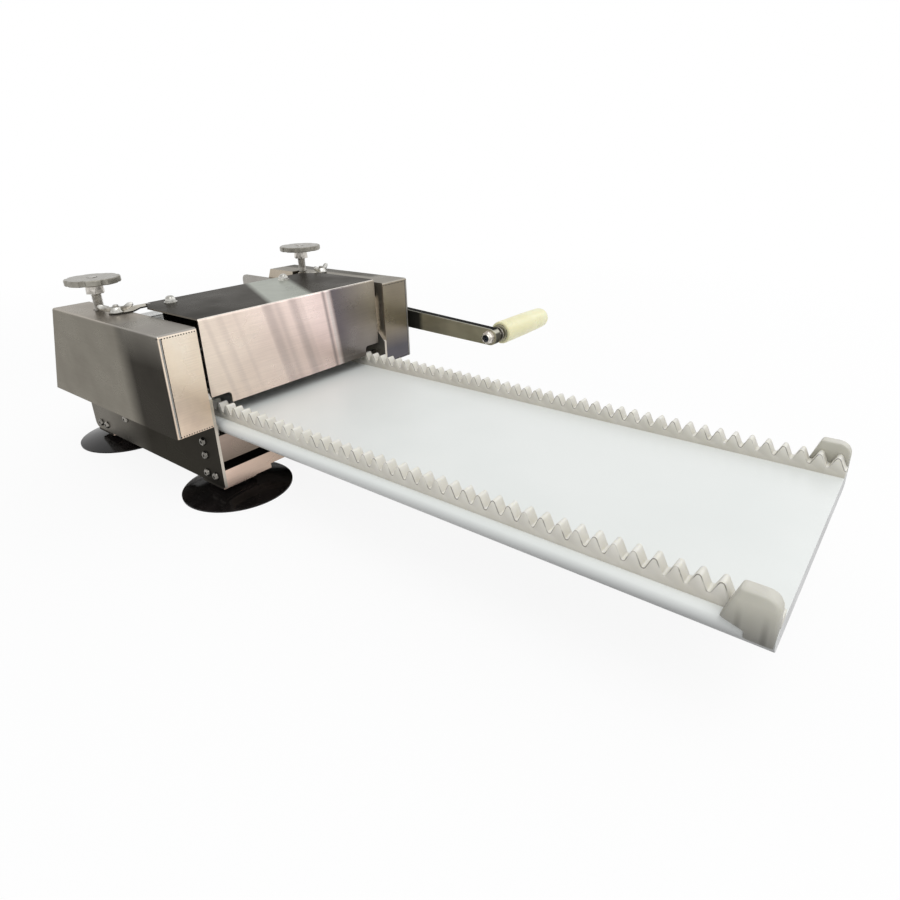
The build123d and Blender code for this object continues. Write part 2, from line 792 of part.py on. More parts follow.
# ---------------------------------------------------------------- foot brackets and cups
cup_hub_radius = 15.0
cup_lip = 1.5
foot_stud_radius = 4.0
foot_nut_flats = 13.0
foot_nut_height = 6.5
bracket_leg_face = plate_inner - rail_sheet
bracket_inner = plate_outer - bracket_reach
bracket_half_length = front_cup_y - plate_front - rail_sheet - bracket_rail_gap
cup_places = [(cup_x, front_cup_y), (cup_x, rear_cup_y)]
with BuildPart() as brackets:
    for cup_y in (front_cup_y, rear_cup_y):
        with BuildSketch(Plane.XZ.offset(-cup_y)):
            with BuildLine():
                Polyline(
                    (bracket_inner, cup_height),
                    (plate_outer, cup_height),
                    (plate_outer, plate_bottom),
                    (bracket_leg_face, plate_bottom),
                    (bracket_leg_face, cup_height + bracket_leg),
                    (bracket_leg_face - bracket_thickness, cup_height + bracket_leg),
                    (bracket_leg_face - bracket_thickness, plate_bottom),
                    (bracket_inner, plate_bottom),
                    close=True,
                )
            make_face()
        extrude(amount=bracket_half_length, both=True)
    with BuildSketch(Plane.XY.offset(cup_height)):
        with Locations(*cup_places):
            Circle(foot_stud_radius)
    extrude(amount=bracket_thickness, mode=Mode.SUBTRACT)
    with BuildSketch(Plane.YZ.offset(bracket_leg_face)):
        with Locations(*foot_screw_places):
            Circle(button_shank)
    extrude(amount=-bracket_thickness, mode=Mode.SUBTRACT)
    chamfer(brackets.edges().filter_by(Axis.Z).group_by(Axis.X)[0], 4.0)
    chamfer(brackets.edges().filter_by(Axis.X).group_by(Axis.Z)[-1], 3.0)
save(with_mirror(brackets.part), "foot_brackets")

rim_width = 6.0
with BuildPart() as cup:
    with BuildSketch(Plane.XZ):
        with BuildLine():
            Polyline((cup_radius - rim_width, 0), (cup_radius, 0), (cup_radius, cup_lip))
            ThreePointArc((cup_radius, cup_lip), (0.7 * cup_radius, 0.42 * cup_height),
                          (cup_hub_radius, 0.68 * cup_height))
            Polyline((cup_hub_radius, 0.68 * cup_height), (cup_hub_radius, cup_height),
                     (foot_stud_radius, cup_height), (foot_stud_radius, 0.6 * cup_height),
                     (0, 0.6 * cup_height), (0, 0.32 * cup_height),
                     (0.5 * cup_radius, 0.2 * cup_height), (cup_radius - rim_width, 0))
        make_face()
    revolve(axis=Axis.Z)
for name, (place_x, place_y) in zip(("front", "rear"), cup_places):
    save(with_mirror(cup.part.moved(Location((place_x, place_y, 0)))), f"suction_cups_{name}")

foot_stud_rise = 9.0
save(
    posts(both_sides(cup_places), 0.6 * cup_height, plate_bottom + foot_stud_rise,
          foot_stud_radius),
    "foot_studs",
)
save(
    hex_nuts(both_sides(cup_places), plate_bottom, foot_nut_height, foot_nut_flats,
             foot_stud_radius),
    "foot_nuts",
)

# ---------------------------------------------------------------- end covers
cover_outline = [
    (plate_front, cover_floor),
    (plate_front, cover_roof),
    (cover_top_back, cover_roof),
    (cover_lower_back, cover_floor),
]
slope_run = (cover_lower_back - cover_top_back) / (cover_roof - cover_floor)


def cover_inside(inset):
    """The cover's outline moved inwards on its closed sides and run out through its floor."""
    back_inset = inset * sqrt(1 + slope_run ** 2)
    top = cover_roof - inset
    floor = cover_floor - 1
    back_at_top = cover_top_back + slope_run * inset - back_inset
    back_at_floor = cover_lower_back + slope_run - back_inset
    return [
        (plate_front + inset, floor),
        (plate_front + inset, top),
        (back_at_top, top),
        (back_at_floor, floor),
    ]


def end_cover(depth, with_shaft_hole):
    """A folded box that stands against the side plate, with a return round its open side."""
    with BuildPart() as cover:
        with BuildSketch(Plane.YZ.offset(plate_outer)) as cover_side:
            with BuildLine():
                Polyline(*cover_outline, close=True)
            make_face()
            fillet(cover_side.vertices().group_by(Axis.Y)[-1], cover_bend)
        extrude(amount=depth)
        outer_edges = cover.faces().sort_by(Axis.X)[-1].edges()
        fillet(outer_edges.filter_by(lambda edge: edge.center().Z > cover_floor + 1), cover_bend)
        with BuildSketch(Plane.YZ.offset(plate_outer + cover_sheet)) as cavity:
            with BuildLine():
                Polyline(*cover_inside(cover_sheet), close=True)
            make_face()
            fillet(cavity.vertices().group_by(Axis.Y)[-1], cover_bend - cover_sheet)
        extrude(amount=depth - 2 * cover_sheet, mode=Mode.SUBTRACT)
        with BuildSketch(Plane.YZ.offset(plate_outer)):
            with BuildLine():
                Polyline(*cover_inside(cover_return), close=True)
            make_face()
        extrude(amount=cover_sheet, mode=Mode.SUBTRACT)
        with BuildSketch(Plane.XY.offset(cover_roof - cover_return - 1)):
            with Locations((screw_x, 0)):
                Circle(slot_width / 2)
            with Locations(((screw_x + plate_outer) / 2, 0)):
                Rectangle(screw_x - plate_outer, slot_width)
            with Locations((clamp_x, clamp_y)):
                Circle(stud_radius + hole_play)
        extrude(amount=cover_return + 2, mode=Mode.SUBTRACT)
        if with_shaft_hole:
            with BuildSketch(Plane.YZ.offset(plate_outer + depth - 2 * cover_sheet)):
                with Locations((shaft_y, shaft_z)):
                    Circle(shaft_radius + shaft_hole_play)
            extrude(amount=3 * cover_sheet, mode=Mode.SUBTRACT)
    return cover.part


save(end_cover(crank_cover_depth, True), "end_cover_right")
save(mirror(end_cover(cover_depth, False), about=Plane.YZ), "end_cover_left")

# ---------------------------------------------------------------- bar and its fasteners
joggle_outer = plate_outer - bar_joggle_gap
joggle_inner = front_cover_half_width - bar_joggle_gap
bar_end = clamp_x + bar_overhang
bar_pins = both_sides([(front_cover_half_width - bar_pin_inset, (bar_front + front_cover_back) / 2)])
with BuildPart() as bar:
    with BuildSketch(Plane.XZ.offset(-bar_front)):
        with BuildLine():
            Polyline(
                (-bar_end, cover_roof),
                (-bar_end, bar_end_top),
                (-joggle_outer, bar_end_top),
                (-joggle_inner, bar_top),
                (joggle_inner, bar_top),
                (joggle_outer, bar_end_top),
                (bar_end, bar_end_top),
                (bar_end, cover_roof),
                (joggle_outer, cover_roof),
                (joggle_inner, bar_top - bar_sheet),
                (-joggle_inner, bar_top - bar_sheet),
                (-joggle_outer, cover_roof),
                close=True,
            )
        make_face()
    extrude(amount=-bar_depth)
    chamfer(bar.edges().filter_by(Axis.Z), bar_depth / 3)
    with BuildSketch(Plane.XY.offset(cover_roof)):
        with Locations(*both_sides([(clamp_x, clamp_y)])):
            Circle(stud_radius)
        with Locations(*bar_pins):
            Circle(bar_pin_radius)
    extrude(amount=bar_top - cover_roof, mode=Mode.SUBTRACT)
save(bar.part, "carrier_bar")
save(posts(bar_pins, bar_top - bar_sheet, front_cover_top, bar_pin_radius), "bar_pins")

bracket_shelf = cover_roof - cover_return - 4
bracket_drop = 24.0
cover_bracket_width = 20.0
shelf_reach = 24.0
shelf_sheet = 2.5
with BuildPart() as cover_bracket:
    with BuildSketch(Plane.XZ.offset(-clamp_y)):
        with BuildLine():
            Polyline(
                (plate_outer, bracket_shelf - bracket_drop),
                (plate_outer + shelf_sheet, bracket_shelf - bracket_drop),
                (plate_outer + shelf_sheet, bracket_shelf - shelf_sheet),
                (plate_outer + shelf_reach, bracket_shelf - shelf_sheet),
                (plate_outer + shelf_reach, bracket_shelf),
                (plate_outer, bracket_shelf),
                close=True,
            )
        make_face()
    extrude(amount=cover_bracket_width / 2, both=True)
    with BuildSketch(Plane.XY.offset(bracket_shelf)):
        with Locations((clamp_x, clamp_y)):
            Circle(2 * stud_radius)
    extrude(amount=cover_roof - cover_sheet - bracket_shelf)
    with BuildSketch(Plane.XY.offset(bracket_shelf - shelf_sheet)):
        with Locations((clamp_x, clamp_y)):
            Circle(stud_radius)
    extrude(amount=cover_roof - bracket_shelf + shelf_sheet, mode=Mode.SUBTRACT)
save(with_mirror(cover_bracket.part), "cover_brackets")

wing_hub_radius = 5.5
wing_hub_height = 5.5
wing_span = 14.5
wing_height = 8.5
wing_tip = 5.0
wing_thickness = 3.5
save(
    posts(both_sides([(clamp_x, clamp_y)]), bracket_shelf - shelf_sheet,
          bar_end_top + wing_hub_height + 2, stud_radius),
    "clamp_studs",
)
with BuildPart() as wing_nuts:
    for side in (1, -1):
        with BuildSketch(Plane.XZ.offset(-clamp_y)):
            with BuildLine():
                Polyline(
                    (side * clamp_x - wing_hub_radius, bar_end_top + 1),
                    (side * clamp_x - wing_span, bar_end_top + wing_height - wing_tip),
                    (side * clamp_x - wing_span + 1, bar_end_top + wing_height),
                    (side * clamp_x - wing_hub_radius - 3, bar_end_top + wing_height),
                    (side * clamp_x - stud_radius - 1, bar_end_top + wing_hub_height),
                    (side * clamp_x + stud_radius + 1, bar_end_top + wing_hub_height),
                    (side * clamp_x + wing_hub_radius + 3, bar_end_top + wing_height),
                    (side * clamp_x + wing_span - 1, bar_end_top + wing_height),
                    (side * clamp_x + wing_span, bar_end_top + wing_height - wing_tip),
                    (side * clamp_x + wing_hub_radius, bar_end_top + 1),
                    close=True,
                )
            make_face()
        extrude(amount=wing_thickness / 2, both=True)
    with BuildSketch(Plane.XY.offset(bar_end_top)):
        with Locations(*both_sides([(clamp_x, clamp_y)])):
            Circle(wing_hub_radius)
    extrude(amount=wing_hub_height)
    with BuildSketch(Plane.XY.offset(bar_end_top)):
        with Locations(*both_sides([(clamp_x, clamp_y)])):
            Circle(stud_radius)
    extrude(amount=wing_height, mode=Mode.SUBTRACT)
save(wing_nuts.part, "wing_nuts")

# ---------------------------------------------------------------- front cover
front_cover_bottom = board_top + skirt_height
skirt_tab_bottom = board_top + skirt_tab_height
skirt_half_width = rack_inner - skirt_rack_gap
cap_places = [(cap_screw_left_x, cap_screw_y), (cap_screw_right_x, cap_screw_y)]
with BuildPart() as front_cover:
    with BuildSketch(Plane.YZ.offset(-front_cover_half_width)):
        with BuildLine():
            Polyline(
                (front_cover_front, front_cover_bottom),
                (front_cover_front, front_cover_top),
                (front_cover_back, front_cover_top),
                (front_cover_back, bar_top),
                (front_cover_front + cover_sheet, bar_top),
                (front_cover_front + cover_sheet, front_cover_bottom),
                close=True,
            )
        make_face()
    extrude(amount=2 * front_cover_half_width)
    bend_line = front_cover.edges().filter_by(Axis.X).group_by(Axis.Z)[-1].sort_by(Axis.Y)[0]
    fillet(bend_line, cover_bend)
    with BuildSketch(Plane.YZ.offset(-skirt_half_width)):
        with Locations((front_cover_front + 1.5 * cover_sheet, front_cover_bottom + hem_height / 2)):
            Rectangle(cover_sheet, hem_height)
    extrude(amount=2 * skirt_half_width)
    with BuildSketch(Plane.XZ.offset(-front_cover_front)) as tabs:
        with Locations((front_cover_half_width, front_cover_bottom),
                       (-front_cover_half_width, front_cover_bottom)):
            Rectangle(2 * (front_cover_half_width - skirt_half_width),
                      2 * (skirt_tab_bottom - front_cover_bottom))
    extrude(amount=-2 * cover_sheet, mode=Mode.SUBTRACT)
    flange_corners = front_cover.edges().filter_by(Axis.Z).group_by(Axis.Y)[-1]
    for corner in flange_corners:
        chamfer(corner, flange_corner_x, flange_corner_y,
                reference=front_cover.faces().filter_by(Axis.Y).sort_by(Axis.Y)[-1])
    tab_corners = front_cover.edges().filter_by(Axis.Y).filter_by(
        lambda edge: abs(edge.center().Z - skirt_tab_bottom) < 0.1
        and abs(abs(edge.center().X) - skirt_half_width) < 0.1)
    fillet(tab_corners, skirt_corner)
    with BuildSketch(Plane.XY.offset(bar_top)):
        with Locations(*cap_places):
            Circle(stud_radius)
        with Locations(*bar_pins):
            Circle(bar_pin_radius)
    extrude(amount=cover_sheet, mode=Mode.SUBTRACT)
save(front_cover.part, "front_cover")

with BuildPart() as cap_screws:
    with BuildSketch(Plane.XY.offset(front_cover_top)):
        with Locations(*cap_places):
            RegularPolygon(cap_nut_flats / 2 / cos(pi / 6), 6)
    extrude(amount=0.6 * cap_nut_height)
    with BuildSketch(Plane.XY.offset(front_cover_top)):
        with Locations(*cap_places):
            Circle(0.46 * cap_nut_flats)
    extrude(amount=cap_nut_height)
    chamfer(cap_screws.edges().group_by(Axis.Z)[-1], 0.2 * cap_nut_flats)
    with BuildSketch(Plane.XY.offset(bar_top - blade_sheet)):
        with Locations(*cap_places):
            Circle(stud_radius)
    extrude(amount=cover_sheet + blade_sheet)
    with BuildSketch(Plane.XY.offset(bar_top - blade_sheet)):
        with Locations(*cap_places):
            RegularPolygon(2 * stud_radius, 6)
    extrude(amount=-stud_radius)
save(cap_screws.part, "cap_screws")

# ---------------------------------------------------------------- scraper blade
blade_half_width = roller_half_length - blade_end_gap
blade_front = bar_front - blade_sheet
blade_edge_y = -roller_radius - blade_gap
blade_flange_front = blade_front - blade_flange
with BuildPart() as blade:
    with BuildSketch(Plane.YZ.offset(-blade_half_width)):
        with BuildLine():
            Polyline(
                (blade_flange_front, bar_top),
                (bar_front, bar_top),
                (bar_front, bar_top - blade_bend_drop),
                (blade_edge_y, bar_top - blade_drop + blade_sheet),
                (blade_edge_y - blade_sheet / 2, bar_top - blade_drop),
                (blade_front, bar_top - blade_bend_drop),
                (blade_front, bar_top - blade_sheet),
                (blade_flange_front, bar_top - blade_sheet),
                close=True,
            )
        make_face()
    extrude(amount=2 * blade_half_width)
    with BuildSketch(Plane.XY.offset(bar_top)):
        with Locations(*cap_places):
            Circle(stud_radius)
    extrude(amount=-blade_sheet, mode=Mode.SUBTRACT)
save(blade.part, "scraper_blade")
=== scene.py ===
import math
import random

import bmesh
import bpy
from mathutils import Matrix, Vector


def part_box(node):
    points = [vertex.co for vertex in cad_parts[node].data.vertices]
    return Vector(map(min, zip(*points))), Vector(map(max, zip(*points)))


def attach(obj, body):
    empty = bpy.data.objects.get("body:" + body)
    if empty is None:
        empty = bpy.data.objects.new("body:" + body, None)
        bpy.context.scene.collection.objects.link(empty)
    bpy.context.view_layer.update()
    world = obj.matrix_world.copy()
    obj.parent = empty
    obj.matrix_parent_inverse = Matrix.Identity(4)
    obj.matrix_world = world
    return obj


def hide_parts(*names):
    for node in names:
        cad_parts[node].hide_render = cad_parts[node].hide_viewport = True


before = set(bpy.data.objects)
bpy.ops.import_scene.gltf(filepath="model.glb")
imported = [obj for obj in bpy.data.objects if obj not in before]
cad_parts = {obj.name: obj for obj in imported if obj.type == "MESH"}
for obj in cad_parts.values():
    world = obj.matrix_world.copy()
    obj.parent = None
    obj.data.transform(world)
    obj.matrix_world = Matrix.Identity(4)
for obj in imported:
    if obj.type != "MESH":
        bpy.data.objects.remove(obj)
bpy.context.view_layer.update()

# Worktop and light.
# A white laminate worktop runs out into a white room. Two large soft lamps and the pale light of
# the room fall on the machine evenly.
room = bpy.data.worlds.new("white_room")
bpy.context.scene.world = room
room.use_nodes = True
room_tree = room.node_tree
room_tree.nodes.clear()
room_out = room_tree.nodes.new("ShaderNodeOutputWorld")
room_mix = room_tree.nodes.new("ShaderNodeMixShader")
room_glow = room_tree.nodes.new("ShaderNodeBackground")
room_glow.inputs["Color"].default_value = (0.97, 0.98, 1.0, 1.0)
room_glow.inputs["Strength"].default_value = 0.66
room_wall = room_tree.nodes.new("ShaderNodeBackground")
room_wall.inputs["Color"].default_value = (1.0, 1.0, 1.0, 1.0)
room_wall.inputs["Strength"].default_value = 1.0


def seen_directly(tree):
    """1 for rays from the camera, from a gloss or through glass, and 0 for the rest."""
    ray = tree.nodes.new("ShaderNodeLightPath")
    seen = tree.nodes.new("ShaderNodeMath")
    seen.operation = "MAXIMUM"
    seen_or_glass = tree.nodes.new("ShaderNodeMath")
    seen_or_glass.operation = "MAXIMUM"
    tree.links.new(ray.outputs["Is Camera Ray"], seen.inputs[0])
    tree.links.new(ray.outputs["Is Glossy Ray"], seen.inputs[1])
    tree.links.new(seen.outputs[0], seen_or_glass.inputs[0])
    tree.links.new(ray.outputs["Is Transmission Ray"], seen_or_glass.inputs[1])
    return seen_or_glass.outputs[0]


room_tree.links.new(seen_directly(room_tree), room_mix.inputs[0])
room_tree.links.new(room_glow.outputs[0], room_mix.inputs[1])
room_tree.links.new(room_wall.outputs[0], room_mix.inputs[2])
room_tree.links.new(room_mix.outputs[0], room_out.inputs["Surface"])


def between(tree, factor, low, high, out_low, out_high):
    """Map a value from one range to another, and hold it at the ends."""
    span = tree.nodes.new("ShaderNodeMapRange")
    span.inputs["From Min"].default_value = low
    span.inputs["From Max"].default_value = high
    span.inputs["To Min"].default_value = out_low
    span.inputs["To Max"].default_value = out_high
    tree.links.new(factor, span.inputs["Value"])
    return span.outputs["Result"]


worktop_mesh = bpy.data.meshes.new("worktop")
worktop_mesh.from_pydata(
    [(-9, -9, 0), (9, -9, 0), (9, 12, 0), (-9, 12, 0)], [], [(0, 1, 2, 3)])
worktop = bpy.data.objects.new("worktop", worktop_mesh)
bpy.context.scene.collection.objects.link(worktop)
laminate = bpy.data.materials.new("white_laminate")
laminate.use_nodes = True
laminate_tree = laminate.node_tree
laminate_shade = laminate_tree.nodes["Principled BSDF"]
laminate_shade.inputs["Base Color"].default_value = (0.93, 0.93, 0.925, 1)
laminate_shade.inputs["Roughness"].default_value = 0.75
laminate_glow = laminate_tree.nodes.new("ShaderNodeEmission")
laminate_glow.inputs["Color"].default_value = (1, 1, 1, 1)
laminate_glow.inputs["Strength"].default_value = 1.0
laminate_place = laminate_tree.nodes.new("ShaderNodeTexCoord")
laminate_reach = laminate_tree.nodes.new("ShaderNodeVectorMath")
laminate_reach.operation = "LENGTH"
laminate_tree.links.new(laminate_place.outputs["Object"], laminate_reach.inputs[0])
laminate_share = laminate_tree.nodes.new("ShaderNodeMath")
laminate_share.operation = "MULTIPLY"
laminate_tree.links.new(
    between(laminate_tree, laminate_reach.outputs["Value"], 0.5, 1.5, 0.9, 1.0),
    laminate_share.inputs[0])
laminate_tree.links.new(seen_directly(laminate_tree), laminate_share.inputs[1])
laminate_mix = laminate_tree.nodes.new("ShaderNodeMixShader")
laminate_tree.links.new(laminate_share.outputs[0], laminate_mix.inputs[0])
laminate_tree.links.new(laminate_shade.outputs[0], laminate_mix.inputs[1])
laminate_tree.links.new(laminate_glow.outputs[0], laminate_mix.inputs[2])
laminate_tree.links.new(
    laminate_mix.outputs[0], laminate_tree.nodes["Material Output"].inputs["Surface"])
worktop_mesh.materials.append(laminate)


def soft_lamp(name, place, target, width, watts):
    """A square soft lamp that points at a target."""
    light = bpy.data.lights.new(name, "AREA")
    light.shape = "SQUARE"
    light.size = width
    light.energy = watts
    lamp = bpy.data.objects.new(name, light)
    bpy.context.scene.collection.objects.link(lamp)
    lamp.location = place
    aim = Vector(target) - Vector(place)
    lamp.rotation_euler = aim.to_track_quat("-Z", "Y").to_euler()


machine_middle = (0, -0.2, 0.08)
soft_lamp("lamp_above", (-0.5, -1.3, 1.9), machine_middle, 1.5, 16)
soft_lamp("lamp_right", (1.7, -1.0, 1.2), machine_middle, 1.2, 5)

# Camera.
# It stands ahead and to the left of the machine and looks down along the board.
camera_data = bpy.data.cameras.new("camera")
camera_data.sensor_width = 36.0
camera_data.lens = 25.18
camera_data.shift_x = -0.0024
camera_data.shift_y = -0.0433
camera_data.clip_start = 0.01
camera = bpy.data.objects.new("camera", camera_data)
bpy.context.scene.collection.objects.link(camera)
bpy.context.scene.camera = camera
camera_place = Vector((-0.4130, -0.6871, 0.3171))
look_turn, look_down, look_roll = 0.8958, -0.3850, -0.0298
look = Vector((math.sin(look_turn) * math.cos(look_down),
               math.cos(look_turn) * math.cos(look_down), math.sin(look_down)))
level_right = Vector((math.cos(look_turn), -math.sin(look_turn), 0))
level_up = level_right.cross(look)
camera_right = math.cos(look_roll) * level_right + math.sin(look_roll) * level_up
camera_up = camera_right.cross(look)
camera.matrix_world = Matrix((
    (camera_right.x, camera_up.x, -look.x, camera_place.x),
    (camera_right.y, camera_up.y, -look.y, camera_place.y),
    (camera_right.z, camera_up.z, -look.z, camera_place.z),
    (0, 0, 0, 1)))

bpy.context.scene.view_settings.view_transform = "Standard"


# Side plates.
# They are 3 mm stainless sheet, laser-cut, with the mill's brushed grain along their length. Their
# front cut edges and their tops carry a painted highlight, their outer faces painted shade that
# darkens towards the front, and the far plate's inner face a lighter painted tone.
def dress(material, *nodes):
    """Give CAD nodes a finish."""
    for node in nodes:
        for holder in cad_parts[node].material_slots:
            holder.material = material


def finish(name, metallic=0.9, roughness=0.3):
    """A new material; returns it with its shader and its node tree."""
    material = bpy.data.materials.new(name)
    material.use_nodes = True
    tree = material.node_tree
    shade = tree.nodes["Principled BSDF"]
    shade.inputs["Metallic"].default_value = metallic
    shade.inputs["Roughness"].default_value = roughness
    return material, shade, tree


def grain(tree, scale, stretch=(1, 1, 1), detail=3.0):
    """Noise, which may be squeezed along the object's axes; returns its factor output."""
    place = tree.nodes.new("ShaderNodeTexCoord")
    squeeze = tree.nodes.new("ShaderNodeMapping")
    squeeze.inputs["Scale"].default_value = stretch
    noise = tree.nodes.new("ShaderNodeTexNoise")
    noise.inputs["Scale"].default_value = scale
    noise.inputs["Detail"].default_value = detail
    tree.links.new(place.outputs["Object"], squeeze.inputs["Vector"])
    tree.links.new(squeeze.outputs["Vector"], noise.inputs["Vector"])
    return noise.outputs["Fac"]


def blend(tree, factor, first, second):
    """Blend two colours, each given as a tuple or as another node's output."""
    mix = tree.nodes.new("ShaderNodeMix")
    mix.data_type = "RGBA"
    if factor is None:
        mix.blend_type = "MULTIPLY"
        mix.inputs["Factor"].default_value = 1.0
    else:
        tree.links.new(factor, mix.inputs["Factor"])
    for socket, colour in ((mix.inputs["A"], first), (mix.inputs["B"], second)):
        if isinstance(colour, tuple):
            socket.default_value = (*colour, 1)
        else:
            tree.links.new(colour, socket)
    return mix.outputs["Result"]


def towards(tree, output, direction):
    """The dot product of the object's own coordinates or normal with a direction."""
    place = tree.nodes.new("ShaderNodeTexCoord")
    dot = tree.nodes.new("ShaderNodeVectorMath")
    dot.operation = "DOT_PRODUCT"
    dot.inputs[1].default_value = direction
    tree.links.new(place.outputs[output], dot.inputs[0])
    return dot.outputs["Value"]


def facing(tree, direction, least=0.35, most=0.8):
    """How far the surface faces a direction, from 0 to 1."""
    return between(tree, towards(tree, "Normal", direction), least, most, 0.0, 1.0)


def along(tree, direction, start, end):
    """A ramp from 0 to 1 along a direction, from one distance in metres to another."""
    return between(tree, towards(tree, "Object", direction), start, end, 0.0, 1.0)


def fade(tree, direction, start, end, first, second):
    """Fade from one colour to another along a direction, between two distances in metres."""
    return blend(tree, along(tree, direction, start, end), first, second)


def faced(tree, direction, first, second):
    """The second colour on surfaces that face a direction, and the first on the rest."""
    return blend(tree, facing(tree, direction), first, second)


def mottled(tree, noise, low, high, first, second):
    """Mottle two colours by a noise, which changes over between two of its values."""
    return blend(tree, between(tree, noise, low, high, 0.0, 1.0), first, second)


def multiplied(tree, first, second):
    """The product of two colours."""
    return blend(tree, None, first, second)


def both(tree, first, second):
    """The product of two masks."""
    product = tree.nodes.new("ShaderNodeMath")
    product.operation = "MULTIPLY"
    tree.links.new(first, product.inputs[0])
    tree.links.new(second, product.inputs[1])
    return product.outputs[0]


def roughen(tree, shade, height, strength, distance):
    """Drive the shader's bump from a height value."""
    bump = tree.nodes.new("ShaderNodeBump")
    bump.inputs["Strength"].default_value = strength
    bump.inputs["Distance"].default_value = distance
    tree.links.new(height, bump.inputs["Height"])
    tree.links.new(bump.outputs["Normal"], shade.inputs["Normal"])


def paint(shade, tree, tone, roughness=None):
    """Link a shader's colour and, where it varies, its roughness."""
    tree.links.new(tone, shade.inputs["Base Color"])
    if roughness is not None:
        tree.links.new(roughness, shade.inputs["Roughness"])


def brush(shade, tree, tone, rim):
    """Put the mill's level grain and faint smears over a sheet's tone, and tint its rim."""
    lines = grain(tree, 3.0, (14, 14, 900), 5.0)
    smears = grain(tree, 24.0)
    lined = mottled(tree, lines, 0.3, 0.7, (0.93, 0.93, 0.93), (1.05, 1.05, 1.05))
    smeared = mottled(tree, smears, 0.35, 0.7, (1.03, 1.03, 1.02), (0.92, 0.91, 0.90))
    both_marks = multiplied(tree, lined, smeared)
    paint(shade, tree, multiplied(tree, tone, both_marks),
          between(tree, smears, 0.3, 0.7, 0.24, 0.36))
    shade.inputs["Specular Tint"].default_value = (rim, 0.98 * rim, 0.94 * rim, 1)
    roughen(tree, shade, lines, 0.08, 0.0001)


to_left, to_right = (-1, 0, 0), (1, 0, 0)
to_front, to_back = (0, -1, 0), (0, 1, 0)
upwards, downwards = (0, 0, 1), (0, 0, -1)
# Painted light and shade: the outer faces darken towards the front, the far plate's inner face is
# lighter, and the front cut edges and the tops carry a painted highlight.
plate_sheet, plate_shade, plate_tree = finish("plate_sheet")
painted_plate_shade = fade(plate_tree, to_front, -0.075, 0.02, (0.235, 0.222, 0.2), (0.035, 0.033, 0.029))
far_plate_inside = both(
    plate_tree, facing(plate_tree, to_left), along(plate_tree, to_right, 0.0, 0.01))
plate_tone = blend(plate_tree, far_plate_inside, painted_plate_shade, (0.4, 0.385, 0.36))
plate_tone = faced(plate_tree, to_front, plate_tone, (0.62, 0.57, 0.5))
plate_tone = faced(plate_tree, upwards, plate_tone, (0.5, 0.48, 0.45))
brush(plate_shade, plate_tree, plate_tone, 0.45)
dress(plate_sheet, "side_plate_left", "side_plate_right")

# Bed, base rails and brackets.
# The bed and the rails are folded from 2 mm sheet and screwed between the side plates, and the
# brackets are bent from 2.5 mm strip. Their fronts take a warm painted reflection, which fades into
# painted shade under the board, and their other faces and tops are painted dark as shade.
# Painted light and shade: a warm reflection on the fronts, fading into shade towards the middle and
# higher up, and dark shade on the other faces and the tops.
frame_sheet, frame_shade, frame_tree = finish("frame_sheet")
frame_front_reflection = fade(frame_tree, to_right, -0.116, -0.05, (0.84, 0.64, 0.53), (0.44, 0.34, 0.27))
frame_front_reflection = fade(
    frame_tree, upwards, 0.034, 0.035, frame_front_reflection,
    multiplied(frame_tree, frame_front_reflection, (0.46, 0.47, 0.48)))
low_front = both(
    frame_tree, along(frame_tree, downwards, -0.066, -0.044),
    along(frame_tree, upwards, 0.034, 0.035))
frame_front_reflection = blend(frame_tree, low_front, frame_front_reflection, (0.2, 0.16, 0.13))
frame_tone = faced(frame_tree, to_front, (0.09, 0.083, 0.075), frame_front_reflection)
frame_top = fade(frame_tree, upwards, 0.04, 0.06, (0.03, 0.028, 0.025), (0.2, 0.19, 0.17))
frame_tone = faced(frame_tree, upwards, frame_tone, frame_top)
brush(frame_shade, frame_tree, frame_tone, 0.35)
dress(frame_sheet, "bed", "base_rail_front", "base_rail_rear", "foot_brackets", "cover_brackets")

# Suction cups.
# They are moulded black rubber discs with a shiny, slightly uneven skin, each held to its bracket
# by a stud and nut. A little dust clouds the skin.
cup_skin, cup_shade, cup_tree = finish("cup_rubber", 0.0, 0.12)
cup_haze = grain(cup_tree, 26.0)
paint(cup_shade, cup_tree,
      mottled(cup_tree, cup_haze, 0.4, 0.7, (0.008, 0.007, 0.0065), (0.022, 0.018, 0.017)),
      between(cup_tree, cup_haze, 0.35, 0.7, 0.08, 0.22))
cup_shade.inputs["Specular IOR Level"].default_value = 0.2
roughen(cup_tree, cup_shade, grain(cup_tree, 40.0), 0.15, 0.001)
dress(cup_skin, "suction_cups_front", "suction_cups_rear")


# Screws in the side plates.
# They are bought-in button-head screws with a hexagon socket, in zinc-plated steel that has gone
# dull, grey with a slight yellow cast. The heads stand against the plates' outer faces.
def ring_reach(size, corners, angle):
    """How far a ring reaches at an angle: a circle's radius, or half a nut's width over flats."""
    if not corners:
        return size
    half = math.pi / corners
    return size / math.cos(angle % (2 * half) - half)


def turned_form(shape, profile, place, axis, steps=36, turn=0.0):
    """Add a turned or cornered form to a mesh, from rings of (size, height, corners)."""
    axis = Vector(axis)
    first = axis.orthogonal().normalized()
    second = axis.cross(first)
    rings = []
    for size, height, corners in profile:
        middle = Vector(place) + height * axis
        if size == 0:
            rings.append([shape.verts.new(middle)])
            continue
        ring = []
        for step in range(steps):
            angle = 2 * math.pi * step / steps
            reach = ring_reach(size, corners, angle)
            out = math.cos(angle + turn) * first + math.sin(angle + turn) * second
            ring.append(shape.verts.new(middle + reach * out))
        rings.append(ring)
    for near, far in zip(rings, rings[1:]):
        for step in range(steps):
            after = (step + 1) % steps
            if len(near) == 1:
                shape.faces.new((near[0], far[step], far[after]))
            elif len(far) == 1:
                shape.faces.new((near[step], near[after], far[0]))
            else:
                shape.faces.new((near[step], near[after], far[after], far[step]))


